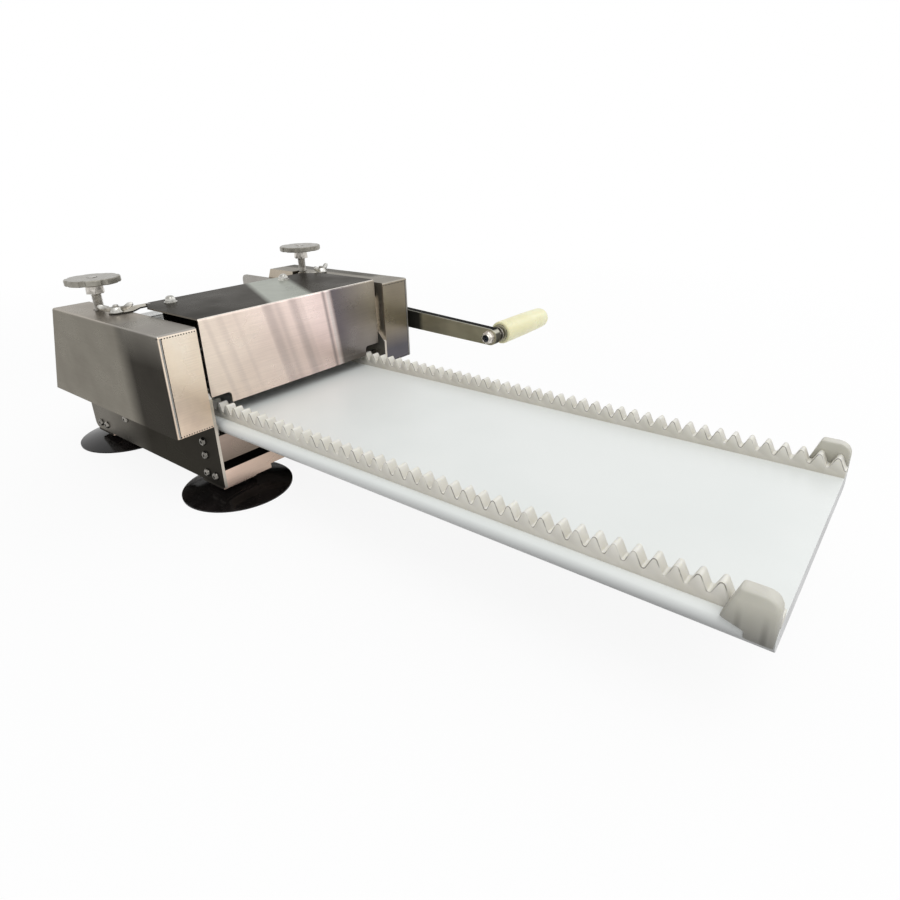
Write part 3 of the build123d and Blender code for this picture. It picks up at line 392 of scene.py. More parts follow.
def fitted(name, shape, material, body, slot, *stands_for, sharp=32):
    """Make a finished mesh into a piece that rides on a body and stands for CAD nodes."""
    bmesh.ops.recalc_face_normals(shape, faces=shape.faces)
    mesh = bpy.data.meshes.new(name)
    shape.to_mesh(mesh)
    shape.free()
    mesh.materials.append(material)
    mesh.shade_smooth()
    mesh.set_sharp_from_angle(angle=math.radians(sharp))
    item = bpy.data.objects.new(name, mesh)
    bpy.context.scene.collection.objects.link(item)
    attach(item, body)
    if stands_for:
        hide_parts(*stands_for)
    return item


def solids_of(node):
    """The lowest and highest corners of each separate solid in a CAD node."""
    shape = bmesh.new()
    shape.from_mesh(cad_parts[node].data)
    bmesh.ops.remove_doubles(shape, verts=shape.verts, dist=1e-6)
    waiting = set(shape.verts)
    found = []
    while waiting:
        group = [waiting.pop()]
        for vert in group:
            for edge in vert.link_edges:
                other = edge.other_vert(vert)
                if other in waiting:
                    waiting.remove(other)
                    group.append(other)
        low = Vector([min(vert.co[axis] for vert in group) for axis in range(3)])
        high = Vector([max(vert.co[axis] for vert in group) for axis in range(3)])
        found.append((low, high))
    shape.free()
    return sorted(found, key=lambda corners: tuple(round(part, 5) for part in corners[0]))


def clouded_zinc(name, dark, light):
    """Dull zinc plate with a fine crystal bloom."""
    material, shade, tree = finish(name, 0.95)
    bloom = grain(tree, 160.0)
    paint(shade, tree, mottled(tree, bloom, 0.35, 0.65, dark, light),
          between(tree, bloom, 0.3, 0.7, 0.22, 0.42))
    roughen(tree, shade, bloom, 0.15, 0.0002)
    return material


zinc = clouded_zinc("zinc_plate", (0.13, 0.125, 0.11), (0.32, 0.3, 0.27))
plate_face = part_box("side_plate_right")[1].x


def button_heads(name, node, head_radius, head_height, shank_radius, socket):
    """Button-head screws in place of a CAD node's plain ones, on both sides of the machine."""
    heads = bmesh.new()
    spin = random.Random(node)
    for low, high in solids_of(node):
        middle = (low + high) / 2
        side = 1 if middle.x > 0 else -1
        inner = min(abs(low.x), abs(high.x))
        profile = [
            (0, inner - plate_face, 0), (shank_radius, inner - plate_face, 0),
            (shank_radius, 0, 0), (head_radius, 0, 0), (head_radius, 0.16 * head_height, 0),
            (0.93 * head_radius, 0.5 * head_height, 0), (0.78 * head_radius, 0.8 * head_height, 0),
            (0.6 * head_radius, 0.96 * head_height, 0), (0.45 * head_radius, head_height, 0),
            (1.1 * socket, head_height, 6), (socket, 0.94 * head_height, 6),
            (socket, 0.4 * head_height, 6), (0, 0.3 * head_height, 0)]
        turned_form(heads, profile, (side * plate_face, middle.y, middle.z), (side, 0, 0),
                    turn=spin.random())
    return fitted(name, heads, zinc, "frame", "zinc_steel", node)


button_heads("bed_screw_heads", "bed_screws", 0.0045, 0.0026, 0.0025, 0.0015)
button_heads("foot_screw_heads", "foot_screws", 0.0045, 0.0026, 0.0025, 0.0015)
button_heads("tie_screw_heads", "tie_screws", 0.0055, 0.0026, 0.003, 0.0018)
dress(zinc, "foot_studs", "foot_nuts", "shaft_collars")

# Board.
# It is a slab of white polyethylene with rounded long edges, planed flat, with a faint green cast
# and fine cutter marks. Its sides are painted grey below their upper edge as shade, most of all
# towards the outfeed end, and its end face is painted grey as shade.
slab, slab_shade, slab_tree = finish("white_slab", 0.0, 0.34)
slab_cloud = grain(slab_tree, 7.0)
slab_tone = mottled(slab_tree, slab_cloud, 0.35, 0.65, (0.775, 0.80, 0.775), (0.81, 0.83, 0.805))
slab_low, slab_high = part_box("board")
slab_depth = slab_high.z - slab_low.z
# Painted shade: the sides go grey below their upper edge, darker towards the outfeed end, and the
# end face is grey.
slab_sides = both(
    slab_tree, between(slab_tree, towards(slab_tree, "Normal", upwards), 0.6, 0.95, 1.0, 0.0),
    along(slab_tree, downwards, 0.15 * slab_depth - slab_high.z, 0.8 * slab_depth - slab_high.z))
painted_side_shade = fade(slab_tree, to_front, 0.2, 0.6, (0.48, 0.48, 0.47), (0.22, 0.22, 0.22))
slab_tone = blend(slab_tree, slab_sides, slab_tone, painted_side_shade)
slab_tone = faced(slab_tree, to_front, slab_tone, (0.5, 0.5, 0.495))
paint(slab_shade, slab_tree, slab_tone,
      between(slab_tree, grain(slab_tree, 9.0, (3, 0.5, 1)), 0.3, 0.7, 0.28, 0.44))
slab_shade.inputs["Subsurface Weight"].default_value = 0.1
slab_shade.inputs["Subsurface Radius"].default_value = (0.003, 0.003, 0.003)
roughen(slab_tree, slab_shade, grain(slab_tree, 4.0, (200, 8, 1)), 0.05, 0.0002)
dress(slab, "board")


# Racks, stop ears and board guides.
# They are milled from ivory plastic and screwed down. Their tops carry a painted highlight and
# their lower parts painted shade, darkest on the ears, and a rough grey cut runs along the teeth's
# edges. The ears are worn round, with dark stripes down their sides.
def stripe(tree, direction, start, end, soft):
    """1 between two distances along a direction, with soft edges, and 0 elsewhere."""
    return both(
        tree, along(tree, direction, start - soft, start + soft),
        along(tree, tuple(-part for part in direction), -end - soft, -end + soft))


def ivory_plastic(name, low_tone, high_tone, low_z, high_z, tip_tone, dark_stripes=()):
    """Milled ivory plastic, with painted shade low down, a painted highlight on its tops and dark
    stripes.
    """
    material, shade, tree = finish(name, 0.0)
    cloud = grain(tree, 60.0)
    # Painted shade darkens the plastic towards its foot, and a painted highlight lightens its tops.
    rise = fade(tree, upwards, low_z, high_z, low_tone, high_tone)
    for start, end in dark_stripes:
        dark_stripe = both(
            tree, stripe(tree, to_front, start, end, 0.0015),
            along(tree, downwards, -high_z + 0.004, -low_z - 0.006))
        rise = blend(tree, dark_stripe, rise, (0.07, 0.066, 0.055))
    topped = faced(tree, upwards, rise, tip_tone)
    clouded = mottled(tree, cloud, 0.35, 0.65, (0.95, 0.945, 0.93), (1.03, 1.03, 1.03))
    paint(shade, tree, multiplied(tree, topped, clouded),
          between(tree, cloud, 0.3, 0.7, 0.4, 0.55))
    shade.inputs["Subsurface Weight"].default_value = 0.15
    shade.inputs["Subsurface Radius"].default_value = (0.003, 0.003, 0.002)
    roughen(tree, shade, grain(tree, 400.0), 0.1, 0.0002)
    return material


rack_ivory = ivory_plastic(
    "rack_ivory", (0.58, 0.555, 0.49), (0.72, 0.70, 0.635), 0.084, 0.098, (0.80, 0.785, 0.72))
ear_low, ear_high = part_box("front_ears")
near_mark, far_mark, mark_width = 0.005, 0.009, 0.0015
ear_ivory = ivory_plastic(
    "ear_ivory", (0.1, 0.097, 0.092), (0.53, 0.515, 0.445), 0.072, 0.1, (0.62, 0.605, 0.54),
    [(far_mark - ear_high.y, far_mark + mark_width - ear_high.y),
     (-ear_low.y - near_mark - mark_width, -ear_low.y - near_mark)])
dress(rack_ivory, "board_guides")

cut_edge, cut_shade, cut_tree = finish("cut_edge", 0.0, 0.5)
paint(cut_shade, cut_tree,
      mottled(cut_tree, grain(cut_tree, 90.0), 0.45, 0.6, (0.26, 0.245, 0.215),
              (0.62, 0.6, 0.54)))

rack_teeth = 62
tooth_height = 0.009
tooth_side = [
    (0.006283, 0.0), (0.0058, 0.00004), (0.00535, 0.0003), (0.00497, 0.00095), (0.0035, 0.0041),
    (0.00195, 0.00745), (0.00155, 0.00815), (0.0009, 0.00875)]
tooth_edge = [(-across, rise) for across, rise in tooth_side] + [(0.0, tooth_height)] + [
    (across, rise) for across, rise in reversed(tooth_side[1:])]
rack_edge_round = 0.0005
for side_name in ("left", "right"):
    rack_low, rack_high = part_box(f"rack_{side_name}")
    tooth_pitch = (rack_high.y - rack_low.y) / rack_teeth
    foot_rise = rack_high.z - tooth_height - rack_low.z
    line = []
    for tooth in range(rack_teeth):
        for across, rise in tooth_edge:
            line.append(Vector((rack_low.y + (tooth + 0.5) * tooth_pitch + across,
                                rack_low.z + foot_rise + rise)))
    line.append(Vector((rack_high.y, rack_low.z + foot_rise)))
    drawn_in = []
    for place, point in enumerate(line):
        before, after = line[max(place - 1, 0)], line[min(place + 1, len(line) - 1)]
        run = (after - before).normalized()
        drawn_in.append(point + rack_edge_round * Vector((run.y, -run.x)))
    bar = bmesh.new()
    layers = []
    for x, edge in ((rack_low.x, drawn_in), (rack_low.x + rack_edge_round, line),
                    (rack_high.x - rack_edge_round, line), (rack_high.x, drawn_in)):
        tops = [bar.verts.new((x, point.x, point.y)) for point in edge]
        feet = [bar.verts.new((x, rack_low.y + tooth * tooth_pitch, rack_low.z))
                for tooth in range(rack_teeth + 1)]
        layers.append((tops, feet))
    for (tops, feet), (next_tops, next_feet) in zip(layers, layers[1:]):
        for point in range(len(tops) - 1):
            bar.faces.new((tops[point], tops[point + 1], next_tops[point + 1], next_tops[point]))
        for point in range(rack_teeth):
            bar.faces.new((feet[point], feet[point + 1], next_feet[point + 1], next_feet[point]))
        for end in (0, -1):
            bar.faces.new((tops[end], next_tops[end], next_feet[end], feet[end]))
    for tops, feet in (layers[0], layers[-1]):
        for tooth in range(rack_teeth):
            start = tooth * len(tooth_edge)
            bar.faces.new(tops[start:start + len(tooth_edge) + 1]
                          + [feet[tooth + 1], feet[tooth]])
    milled_rack = fitted(f"toothed_rack_{side_name}", bar, rack_ivory, "board", "rack_plastic",
                         f"rack_{side_name}", sharp=50)
    milled_rack.data.materials.append(cut_edge)
    for facet in milled_rack.data.polygons:
        if 0.2 < abs(facet.normal.x) < 0.95:
            facet.material_index = 1


def rounded(name, material, body, node, grid, passes):
    """A copy of a CAD node with its edges rounded off, in place of the node."""
    block = bpy.data.objects.new(name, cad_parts[node].data.copy())
    bpy.context.scene.collection.objects.link(block)
    block.data.materials.clear()
    even = block.modifiers.new("even_grid", "REMESH")
    even.mode = "VOXEL"
    even.voxel_size = grid
    soften = block.modifiers.new("worn_edges", "SMOOTH")
    soften.factor = 0.5
    soften.iterations = passes
    bpy.context.view_layer.update()
    mesh = bpy.data.meshes.new_from_object(
        block.evaluated_get(bpy.context.evaluated_depsgraph_get()))
    block.modifiers.clear()
    block.data = mesh
    mesh.name = name
    mesh.materials.clear()
    mesh.materials.append(material)
    mesh.shade_smooth()
    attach(block, body)
    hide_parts(node)
    return block


ear_grid, ear_passes = 0.0008, 9
for end_name in ("front", "rear"):
    rounded(f"worn_{end_name}_ears", ear_ivory, "board", f"{end_name}_ears",
            ear_grid, ear_passes)

# Rollers, shafts, guide rails and pinions.
# They are turned and milled steel inside the machine, with fine rings left by the tool. The bushes
# are plain bronze and the sliding blocks milled aluminium.
turned, turned_shade, turned_tree = finish("turned_steel", 1.0, 0.26)
rings = grain(turned_tree, 3.0, (900, 1, 1))
paint(turned_shade, turned_tree,
      mottled(turned_tree, rings, 0.3, 0.7, (0.46, 0.46, 0.45), (0.6, 0.6, 0.59)),
      between(turned_tree, rings, 0.3, 0.7, 0.18, 0.34))
roughen(turned_tree, turned_shade, rings, 0.1, 0.0001)
dress(turned, "crank_shaft", "roller_tube", "roller_hubs", "roller_shaft", "support_roller",
      "support_axle", "tie_rods", "pinion_left", "pinion_right", "guide_rails_left",
      "guide_rails_right", "screw_bridges", "crank_hub")

bronze, bronze_shade, bronze_tree = finish("bush_bronze", 1.0, 0.35)
paint(bronze_shade, bronze_tree,
      blend(bronze_tree, grain(bronze_tree, 200.0), (0.42, 0.27, 0.11), (0.58, 0.41, 0.2)))
dress(bronze, "shaft_bushes", "roller_bushes", "support_bushes")

milled, milled_shade, milled_tree = finish("block_aluminium", 1.0, 0.36)
cutter_lines = grain(milled_tree, 12.0, (1, 60, 60))
paint(milled_shade, milled_tree,
      blend(milled_tree, cutter_lines, (0.5, 0.51, 0.52), (0.72, 0.73, 0.74)))
dress(milled, "roller_block_left", "roller_block_right")

# End covers.
# Each is a box folded from 1.5 mm brushed sheet. The side wraps round onto the front in a narrow
# lip, and the front is tack-welded to the roof and floor along its edges.
cover_sheet, cover_shade, cover_tree = finish("cover_sheet")
# Painted light and shade: the sides darken towards the front, with a lighter patch at the top front
# corner; the fronts take a cream painted reflection, blotched and darker lower down; the roofs are
# lighter at the back; the far cover's front, roof edge and inner wall take their own painted tones.
side_tone = fade(cover_tree, to_front, 0.078, 0.104, (0.27, 0.252, 0.218), (0.04, 0.037, 0.033))
rear_side = multiplied(cover_tree, side_tone, (1.12, 1.12, 1.12))
side_tone = fade(cover_tree, to_front, -0.1, 0.06, rear_side, side_tone)
top_front_corner = both(
    cover_tree, along(cover_tree, upwards, 0.148, 0.177), along(cover_tree, to_front, 0.085, 0.1))
side_tone = blend(cover_tree, top_front_corner, side_tone, (0.17, 0.16, 0.143))
roof_tone = fade(cover_tree, to_front, 0.06, 0.088, (0.56, 0.52, 0.47), (0.43, 0.41, 0.38))
roof_tone = fade(cover_tree, to_front, 0.102, 0.125, roof_tone, (0.42, 0.4, 0.375))
front_tone = fade(cover_tree, downwards, -0.155, -0.09, (0.98, 0.85, 0.72), (0.66, 0.52, 0.42))
front_reflection_blotches = between(cover_tree, grain(cover_tree, 30.0, (1, 1, 0.6)), 0.42, 0.62, 0.0, 0.6)
front_tone = blend(cover_tree, front_reflection_blotches, front_tone, (0.93, 0.77, 0.61))
far_tone = fade(cover_tree, upwards, 0.098, 0.124, (0.118, 0.113, 0.127), (0.27, 0.235, 0.185))
front_tone = fade(cover_tree, to_right, -0.01, 0.01, front_tone, far_tone)
far_roof_edge = both(
    cover_tree, along(cover_tree, to_right, 0.142, 0.148),
    along(cover_tree, to_back, -0.122, -0.112))
far_roof = blend(cover_tree, far_roof_edge, (0.42, 0.4, 0.36), (0.12, 0.115, 0.1))
roof_tone = fade(cover_tree, to_right, -0.01, 0.01, roof_tone, far_roof)
far_inner_wall = both(
    cover_tree, along(cover_tree, to_right, 0.1, 0.11), facing(cover_tree, to_left))
side_tone = blend(cover_tree, far_inner_wall, side_tone, (0.5, 0.44, 0.36))
cover_tone = blend(cover_tree, facing(cover_tree, to_front, 0.75, 0.95), side_tone, front_tone)
cover_tone = faced(cover_tree, upwards, cover_tone, roof_tone)
brush(cover_shade, cover_tree, cover_tone, 0.5)
dress(cover_sheet, "end_cover_left", "end_cover_right")

# The lip's lighter grey is a painted highlight along the rounded fold.
lip_highlight, lip_shade, lip_tree = finish("lip_highlight", 0.9, 0.34)
paint(lip_shade, lip_tree,
      blend(lip_tree, grain(lip_tree, 300.0), (0.27, 0.262, 0.25), (0.42, 0.41, 0.39)))
# A dark colour for the painted shade in the groove beside each lip, also worn by the tack welds and
# the corner bead.
groove_shade_and_welds, seam_shade, seam_tree = finish("groove_shade_and_welds", 0.6, 0.5)
paint(seam_shade, seam_tree,
      blend(seam_tree, grain(seam_tree, 500.0), (0.015, 0.014, 0.013), (0.06, 0.055, 0.05)))


def add_strip(shape, start, end, across, out, width, height):
    """Add a low strip with rounded shoulders, from one point to another on a face."""
    across, out = Vector(across), Vector(out)
    section = [(-0.5, 0), (-0.5, 0.5), (-0.3, 1), (0.3, 1), (0.5, 0.5), (0.5, 0)]
    ends = []
    for place in (start, end):
        ends.append([
            shape.verts.new(Vector(place) + side * width * across + rise * height * out)
            for side, rise in section])
    for first in range(len(section)):
        second = (first + 1) % len(section)
        shape.faces.new((ends[0][first], ends[0][second], ends[1][second], ends[1][first]))
    shape.faces.new(ends[0])
    shape.faces.new(ends[1])


lip_width, lip_height, lip_foot, lip_head = 0.0014, 0.0003, 0.0004, 0.0026
seam_width, seam_height = 0.0007, 0.0002
cover_fold = 0.0025
roof_seam_drop, floor_seam_rise = cover_fold + 0.0006, 0.0012
tack_spacing, first_tack = 0.0026, 0.002
corner_inset, corner_drop = 0.0012, 0.0022
tack = [(0, 0.0004, 0), (0.0004, 0.00035, 0), (0.0007, 0, 0), (0, -0.0001, 0)]
corner_bead = [(0, 0.0006, 0), (0.0009, 0.0004, 0), (0.0013, 0, 0), (0, -0.0001, 0)]
for side_name, side in (("left", -1), ("right", 1)):
    cover_low, cover_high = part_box(f"end_cover_{side_name}")
    outer_x = side * max(abs(cover_low.x), abs(cover_high.x))
    inner_x = side * min(abs(cover_low.x), abs(cover_high.x))
    front_y = cover_low.y
    lip_x = outer_x - side * (cover_fold + lip_width / 2)
    foot_z, head_z = cover_low.z + lip_foot, cover_high.z - lip_head
    lip = bmesh.new()
    add_strip(lip, (lip_x, front_y, foot_z), (lip_x, front_y, head_z), to_right, to_front,
              lip_width, lip_height)
    fitted(f"end_cover_lip_{side_name}", lip, lip_highlight, "frame", "stainless")
    # A dark strip of painted shade lies in the groove between the lip and the front.
    seams = bmesh.new()
    seam_x = lip_x - side * (lip_width + seam_width) / 2
    add_strip(seams, (seam_x, front_y, foot_z), (seam_x, front_y, head_z), to_right, to_front,
              seam_width, seam_height)
    for seam_z in (cover_high.z - roof_seam_drop, cover_low.z + floor_seam_rise):
        tack_x = abs(inner_x) + first_tack
        while tack_x < abs(outer_x) - cover_fold:
            turned_form(seams, tack, (side * tack_x, front_y, seam_z), to_front, steps=8)
            tack_x += tack_spacing
    corner = (outer_x - side * corner_inset, front_y + corner_inset, cover_high.z - corner_drop)
    turned_form(seams, corner_bead, corner, Vector((side, -1, 1)).normalized(), steps=10)
    fitted(f"end_cover_seams_{side_name}", seams, groove_shade_and_welds, "frame", "stainless")


# Thickness screws.
# Each is an M10 screw, turned by its knob, with a foot held in the sliding block. The thread runs
# up to the nut under the knob, and the screw's end shows in the middle of the knob.
def add_thread(shape, foot, bottom, top, radius, pitch, steps=20, rows=6):
    """Add a threaded bar along Z with chamfered ends, centred on a point."""
    depth = 0.6 * pitch
    count = round((top - bottom) / pitch * rows)
    bands = []
    for row in range(count + 1):
        z = bottom + (top - bottom) * row / count
        ease = min(1.0, (z - bottom) / pitch, (top - z) / pitch)
        band = []
        for step in range(steps):
            wave = abs(2 * ((z / pitch - step / steps) % 1.0) - 1)
            cut = min(1.0, max(0.0, (wave - 0.12) / 0.76))
            reach = radius - depth * (1 - ease) - depth * ease * cut
            angle = 2 * math.pi * step / steps
            band.append(shape.verts.new(
                (foot.x + reach * math.cos(angle), foot.y + reach * math.sin(angle), z)))
        bands.append(band)
    for low_band, high_band in zip(bands, bands[1:]):
        for step in range(steps):
            after = (step + 1) % steps
            shape.faces.new((low_band[step], low_band[after], high_band[after], high_band[step]))
    shape.faces.new(bands[0])
    shape.faces.new(bands[-1])


thread_zinc = clouded_zinc("thread_zinc", (0.28, 0.265, 0.24), (0.56, 0.54, 0.5))
knob_zinc = clouded_zinc("knob_zinc", (0.235, 0.222, 0.19), (0.33, 0.315, 0.275))
nut_zinc = clouded_zinc("nut_zinc", (0.4, 0.375, 0.34), (0.84, 0.8, 0.74))
foot_height, screw_radius, screw_pitch = 0.004, 0.00497, 0.0015
for side_name in ("left", "right"):
    screw_low, screw_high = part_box(f"thickness_screw_{side_name}")
    screw_middle = (screw_low + screw_high) / 2
    screw = bmesh.new()
    turned_form(screw, [(0, 0, 0), (0.0074, 0, 0), (0.008, 0.0006, 0), (0.008, 0.0034, 0),
                        (0.0074, foot_height, 0), (0, foot_height, 0)],
                (screw_middle.x, screw_middle.y, screw_low.z), upwards)
    add_thread(screw, screw_middle, screw_low.z + foot_height, screw_high.z, screw_radius,
               screw_pitch)
    fitted(f"threaded_screw_{side_name}", screw, thread_zinc, f"{side_name}_screw", "zinc_steel",
           f"thickness_screw_{side_name}", sharp=60)
dress(knob_zinc, "knob_left", "knob_right")
dress(nut_zinc, "knob_nut_left", "knob_nut_right")

# Carrier bar and its pins.
# The bar is a thin joggled strip that crosses under the front cover's flange. Two flush pins join
# it to the flange, and studs clamp its ends to the end covers.
bar_sheet, bar_shade, bar_tree = finish("bar_sheet")
# The bar's top carries a painted highlight and its other faces painted shade.
bar_tone = faced(bar_tree, upwards, (0.05, 0.047, 0.042), (0.6, 0.57, 0.5))
brush(bar_shade, bar_tree, bar_tone, 0.7)
dress(bar_sheet, "carrier_bar", "scraper_blade")
dress(zinc, "bar_pins")

# Clamp studs and wing nuts.
# A wing nut on an M6 stud holds each end of the bar down on its end cover. The wing nuts are
# cast, with a round hub, and their zinc is mottled with bright patches.
cast_zinc = clouded_zinc("cast_zinc", (0.34, 0.33, 0.3), (0.8, 0.79, 0.75))
wing_outline = [
    (0.002, 0.0008), (0.007, 0.0011), (0.0115, 0.0026), (0.015, 0.0046), (0.0164, 0.0066),
    (0.0158, 0.0084), (0.0138, 0.0091), (0.0112, 0.0085), (0.009, 0.007), (0.007, 0.0058),
    (0.002, 0.0054)]
wing_layers = [(-0.0017, 0.82), (-0.0013, 0.97), (0, 1.03), (0.0013, 0.97), (0.0017, 0.82)]


def add_wing(shape, place, turn):
    """Add one rounded wing that leans out from a point at an angle about Z."""
    out = Vector((math.cos(turn), math.sin(turn), 0))
    through = Vector((-math.sin(turn), math.cos(turn), 0))
    middle = sum((Vector(point) for point in wing_outline), Vector((0, 0))) / len(wing_outline)
    layers = []
    for offset, draw in wing_layers:
        layer = []
        for point in wing_outline:
            drawn = middle + draw * (Vector(point) - middle)
            layer.append(shape.verts.new(
                Vector(place) + drawn.x * out + Vector((0, 0, drawn.y)) + offset * through))
        layers.append(layer)
    for near, far in zip(layers, layers[1:]):
        for first in range(len(wing_outline)):
            second = (first + 1) % len(wing_outline)
            shape.faces.new((near[first], near[second], far[second], far[first]))
    shape.faces.new(layers[0])
    shape.faces.new(layers[-1])


stud_radius, stud_pitch = 0.003, 0.001
stud_places = solids_of("clamp_studs")
clamp_threads = bmesh.new()
for stud_low, stud_high in stud_places:
    add_thread(clamp_threads, (stud_low + stud_high) / 2, stud_low.z, stud_high.z, stud_radius,
               stud_pitch, steps=16)
fitted("clamp_threads", clamp_threads, thread_zinc, "frame", "zinc_steel", "clamp_studs", sharp=60)
wings = bmesh.new()
wing_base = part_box("wing_nuts")[0].z
wing_bore, wing_hub = 0.0031, 0.0056
for (stud_low, stud_high), turn in zip(stud_places, (-0.62, 0.35)):
    stud_middle = (stud_low + stud_high) / 2
    seat = (stud_middle.x, stud_middle.y, wing_base)
    turned_form(wings, [(wing_bore, 0, 0), (0.0062, 0, 0), (0.0066, 0.0004, 0),
                        (0.0064, 0.0016, 0), (0.0056, 0.0035, 0), (0.005, 0.0053, 0),
                        (0.0046, wing_hub, 0), (wing_bore, wing_hub, 0), (wing_bore, 0, 0)],
                seat, upwards)
    add_wing(wings, seat, turn)
    add_wing(wings, seat, turn + math.pi)
bmesh.ops.remove_doubles(wings, verts=wings.verts, dist=1e-6)
fitted("cast_wing_nuts", wings, cast_zinc, "frame", "zinc_steel", "wing_nuts", sharp=50)

# Front cover.
# It is one sheet, folded over at the top, with a hem along its lower edge between the racks. Its
# polished front is painted with a cream reflection in soft upright bands and with shade on the end
# by the crank; its flange top is painted dark, with a painted glint.
front_sheet, front_shade, front_tree = finish("front_sheet")
dusk_lean = (1, 0, 0.13)
# Painted reflection and shade: a cream reflection, darker lower down and in upright bands; shade on
# the crank end with a dark and a pale line at its edge; a dark flange top with a painted glint.
cream = fade(front_tree, (1, 0, 0.2), -0.08, 0.06, (0.98, 0.84, 0.73), (0.90, 0.73, 0.69))
cream = fade(
    front_tree, downwards, -0.15, -0.1, cream, multiplied(front_tree, cream, (0.87, 0.86, 0.85)))
wave = front_tree.nodes.new("ShaderNodeTexNoise")
wave.noise_dimensions = "1D"
wave.inputs["Scale"].default_value = 38.0
wave.inputs["Detail"].default_value = 1.5
front_tree.links.new(towards(front_tree, "Object", (1, 0, 0.25)), wave.inputs["W"])
bands = between(front_tree, wave.outputs["Fac"], 0.5, 0.66, 0.0, 0.75)
cream = blend(front_tree, bands, cream, (0.55, 0.455, 0.43))
dusk = fade(front_tree, dusk_lean, 0.075, 0.125, (0.165, 0.145, 0.155), (0.3, 0.265, 0.22))
dusk = fade(front_tree, downwards, -0.135, -0.1, dusk, (0.2, 0.185, 0.175))
face_tone = fade(front_tree, dusk_lean, 0.064, 0.071, cream, dusk)
dark_line = stripe(front_tree, dusk_lean, 0.0575, 0.0605, 0.002)
face_tone = blend(front_tree, dark_line, face_tone, (0.3, 0.25, 0.25))
pale_line = stripe(front_tree, dusk_lean, 0.0635, 0.0665, 0.002)
face_tone = blend(front_tree, pale_line, face_tone, (0.7, 0.64, 0.62))
flange_tone = fade(front_tree, to_right, -0.11, 0.0, (0.03, 0.028, 0.027), (0.075, 0.07, 0.066))
flange_glint = stripe(front_tree, (1, -0.46, 0), 0.037, 0.09, 0.004)
flange_tone = blend(front_tree, flange_glint, flange_tone, (0.66, 0.7, 0.65))
front_cover_tone = faced(front_tree, upwards, (0.4, 0.37, 0.33), flange_tone)
front_cover_tone = faced(front_tree, to_front, front_cover_tone, face_tone)
brush(front_shade, front_tree, front_cover_tone, 0.45)
dress(front_sheet, "front_cover")

# The fold's bright strip is a painted highlight along the flange's top edge.
fold_highlight, edge_shade, edge_tree = finish("fold_highlight")
paint(edge_shade, edge_tree,
      blend(edge_tree, grain(edge_tree, 300.0), (0.7, 0.66, 0.6), (0.95, 0.91, 0.85)))
flange_low, flange_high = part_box("front_cover")
fold_inset, fold_back, fold_drop = 0.0004, 0.0011, 0.0008
fold_y, fold_z = flange_low.y + fold_back, flange_high.z - fold_drop
fold_line = bmesh.new()
add_strip(fold_line, (flange_low.x + fold_inset, fold_y, fold_z),
          (flange_high.x - fold_inset, fold_y, fold_z),
          (0, 0.7071, 0.7071), (0, -0.7071, 0.7071), 0.0015, 0.0003)
fitted("front_cover_fold", fold_line, fold_highlight, "frame", "stainless")
hem_gap, hem_rise = 0.003, 0.0065
crease = bmesh.new()
skirt_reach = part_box("rack_right")[0].x - hem_gap
crease_z = flange_low.z + hem_rise
add_strip(crease, (-skirt_reach, flange_low.y, crease_z), (skirt_reach, flange_low.y, crease_z),
          upwards, to_front, 0.0006, 0.00015)
fitted("front_cover_crease", crease, front_sheet, "frame", "stainless")

# Cap screws.
# Each is a domed hexagon nut on a washer on top of the flange. Its stud goes through the scraper
# blade's flange to a nut below.
cap_heads = bmesh.new()
for cap_low, cap_high in solids_of("cap_screws"):
    cap_middle = (cap_low + cap_high) / 2
    under = cap_low.z - flange_high.z
    cap_profile = [
        (0, under, 0), (0.0048, under, 6), (0.0052, under + 0.0004, 6),
        (0.0052, under + 0.003, 6), (0.003, under + 0.003, 0), (0.003, 0, 0), (0.0066, 0, 0),
        (0.0066, 0.0007, 0), (0.005, 0.0008, 6), (0.005, 0.0034, 6), (0.0047, 0.0041, 6),
        (0.0045, 0.0043, 0), (0.0042, 0.0053, 0), (0.0034, 0.0062, 0), (0.002, 0.0068, 0),
        (0, 0.007, 0)]
    turned_form(cap_heads, cap_profile, (cap_middle.x, cap_middle.y, flange_high.z), upwards,
                turn=0.3)
fitted("cap_heads", cap_heads, cast_zinc, "frame", "zinc_steel", "cap_screws")

# Crank arm.
# It is rolled flat bar, left dark, with painted highlights on its corners and sides. A socket
# screw and a washer hold it on the end of the crank shaft.
arm_steel, arm_shade, arm_tree = finish("arm_steel", 0.85, 0.36)
arm_cloud = grain(arm_tree, 70.0, (1, 0.4, 1))
# Painted light: a lighter band along the sides, darker front and top faces as shade, and a
# highlight on the upward-sloping corners.
arm_tone = fade(arm_tree, to_front, 0.166, 0.173, (0.11, 0.105, 0.088), (0.52, 0.49, 0.36))
arm_tone = fade(arm_tree, to_front, 0.215, 0.245, arm_tone, (0.38, 0.36, 0.26))
arm_tone = faced(arm_tree, to_front, arm_tone, (0.09, 0.086, 0.07))
arm_tone = faced(arm_tree, upwards, arm_tone, (0.03, 0.029, 0.024))
arm_corner_highlight = both(
    arm_tree, between(arm_tree, towards(arm_tree, "Normal", upwards), 0.45, 0.6, 0.0, 1.0),
    between(arm_tree, towards(arm_tree, "Normal", upwards), 0.8, 0.9, 1.0, 0.0))
arm_tone = blend(arm_tree, arm_corner_highlight, arm_tone, (0.42, 0.41, 0.35))
arm_marks = mottled(arm_tree, arm_cloud, 0.35, 0.65, (0.86, 0.86, 0.86), (1.1, 1.1, 1.1))
paint(arm_shade, arm_tree, multiplied(arm_tree, arm_tone, arm_marks))
arm_shade.inputs["Specular Tint"].default_value = (0.2, 0.195, 0.18, 1)
roughen(arm_tree, arm_shade, arm_cloud, 0.15, 0.0003)
dress(arm_steel, "crank_arm")

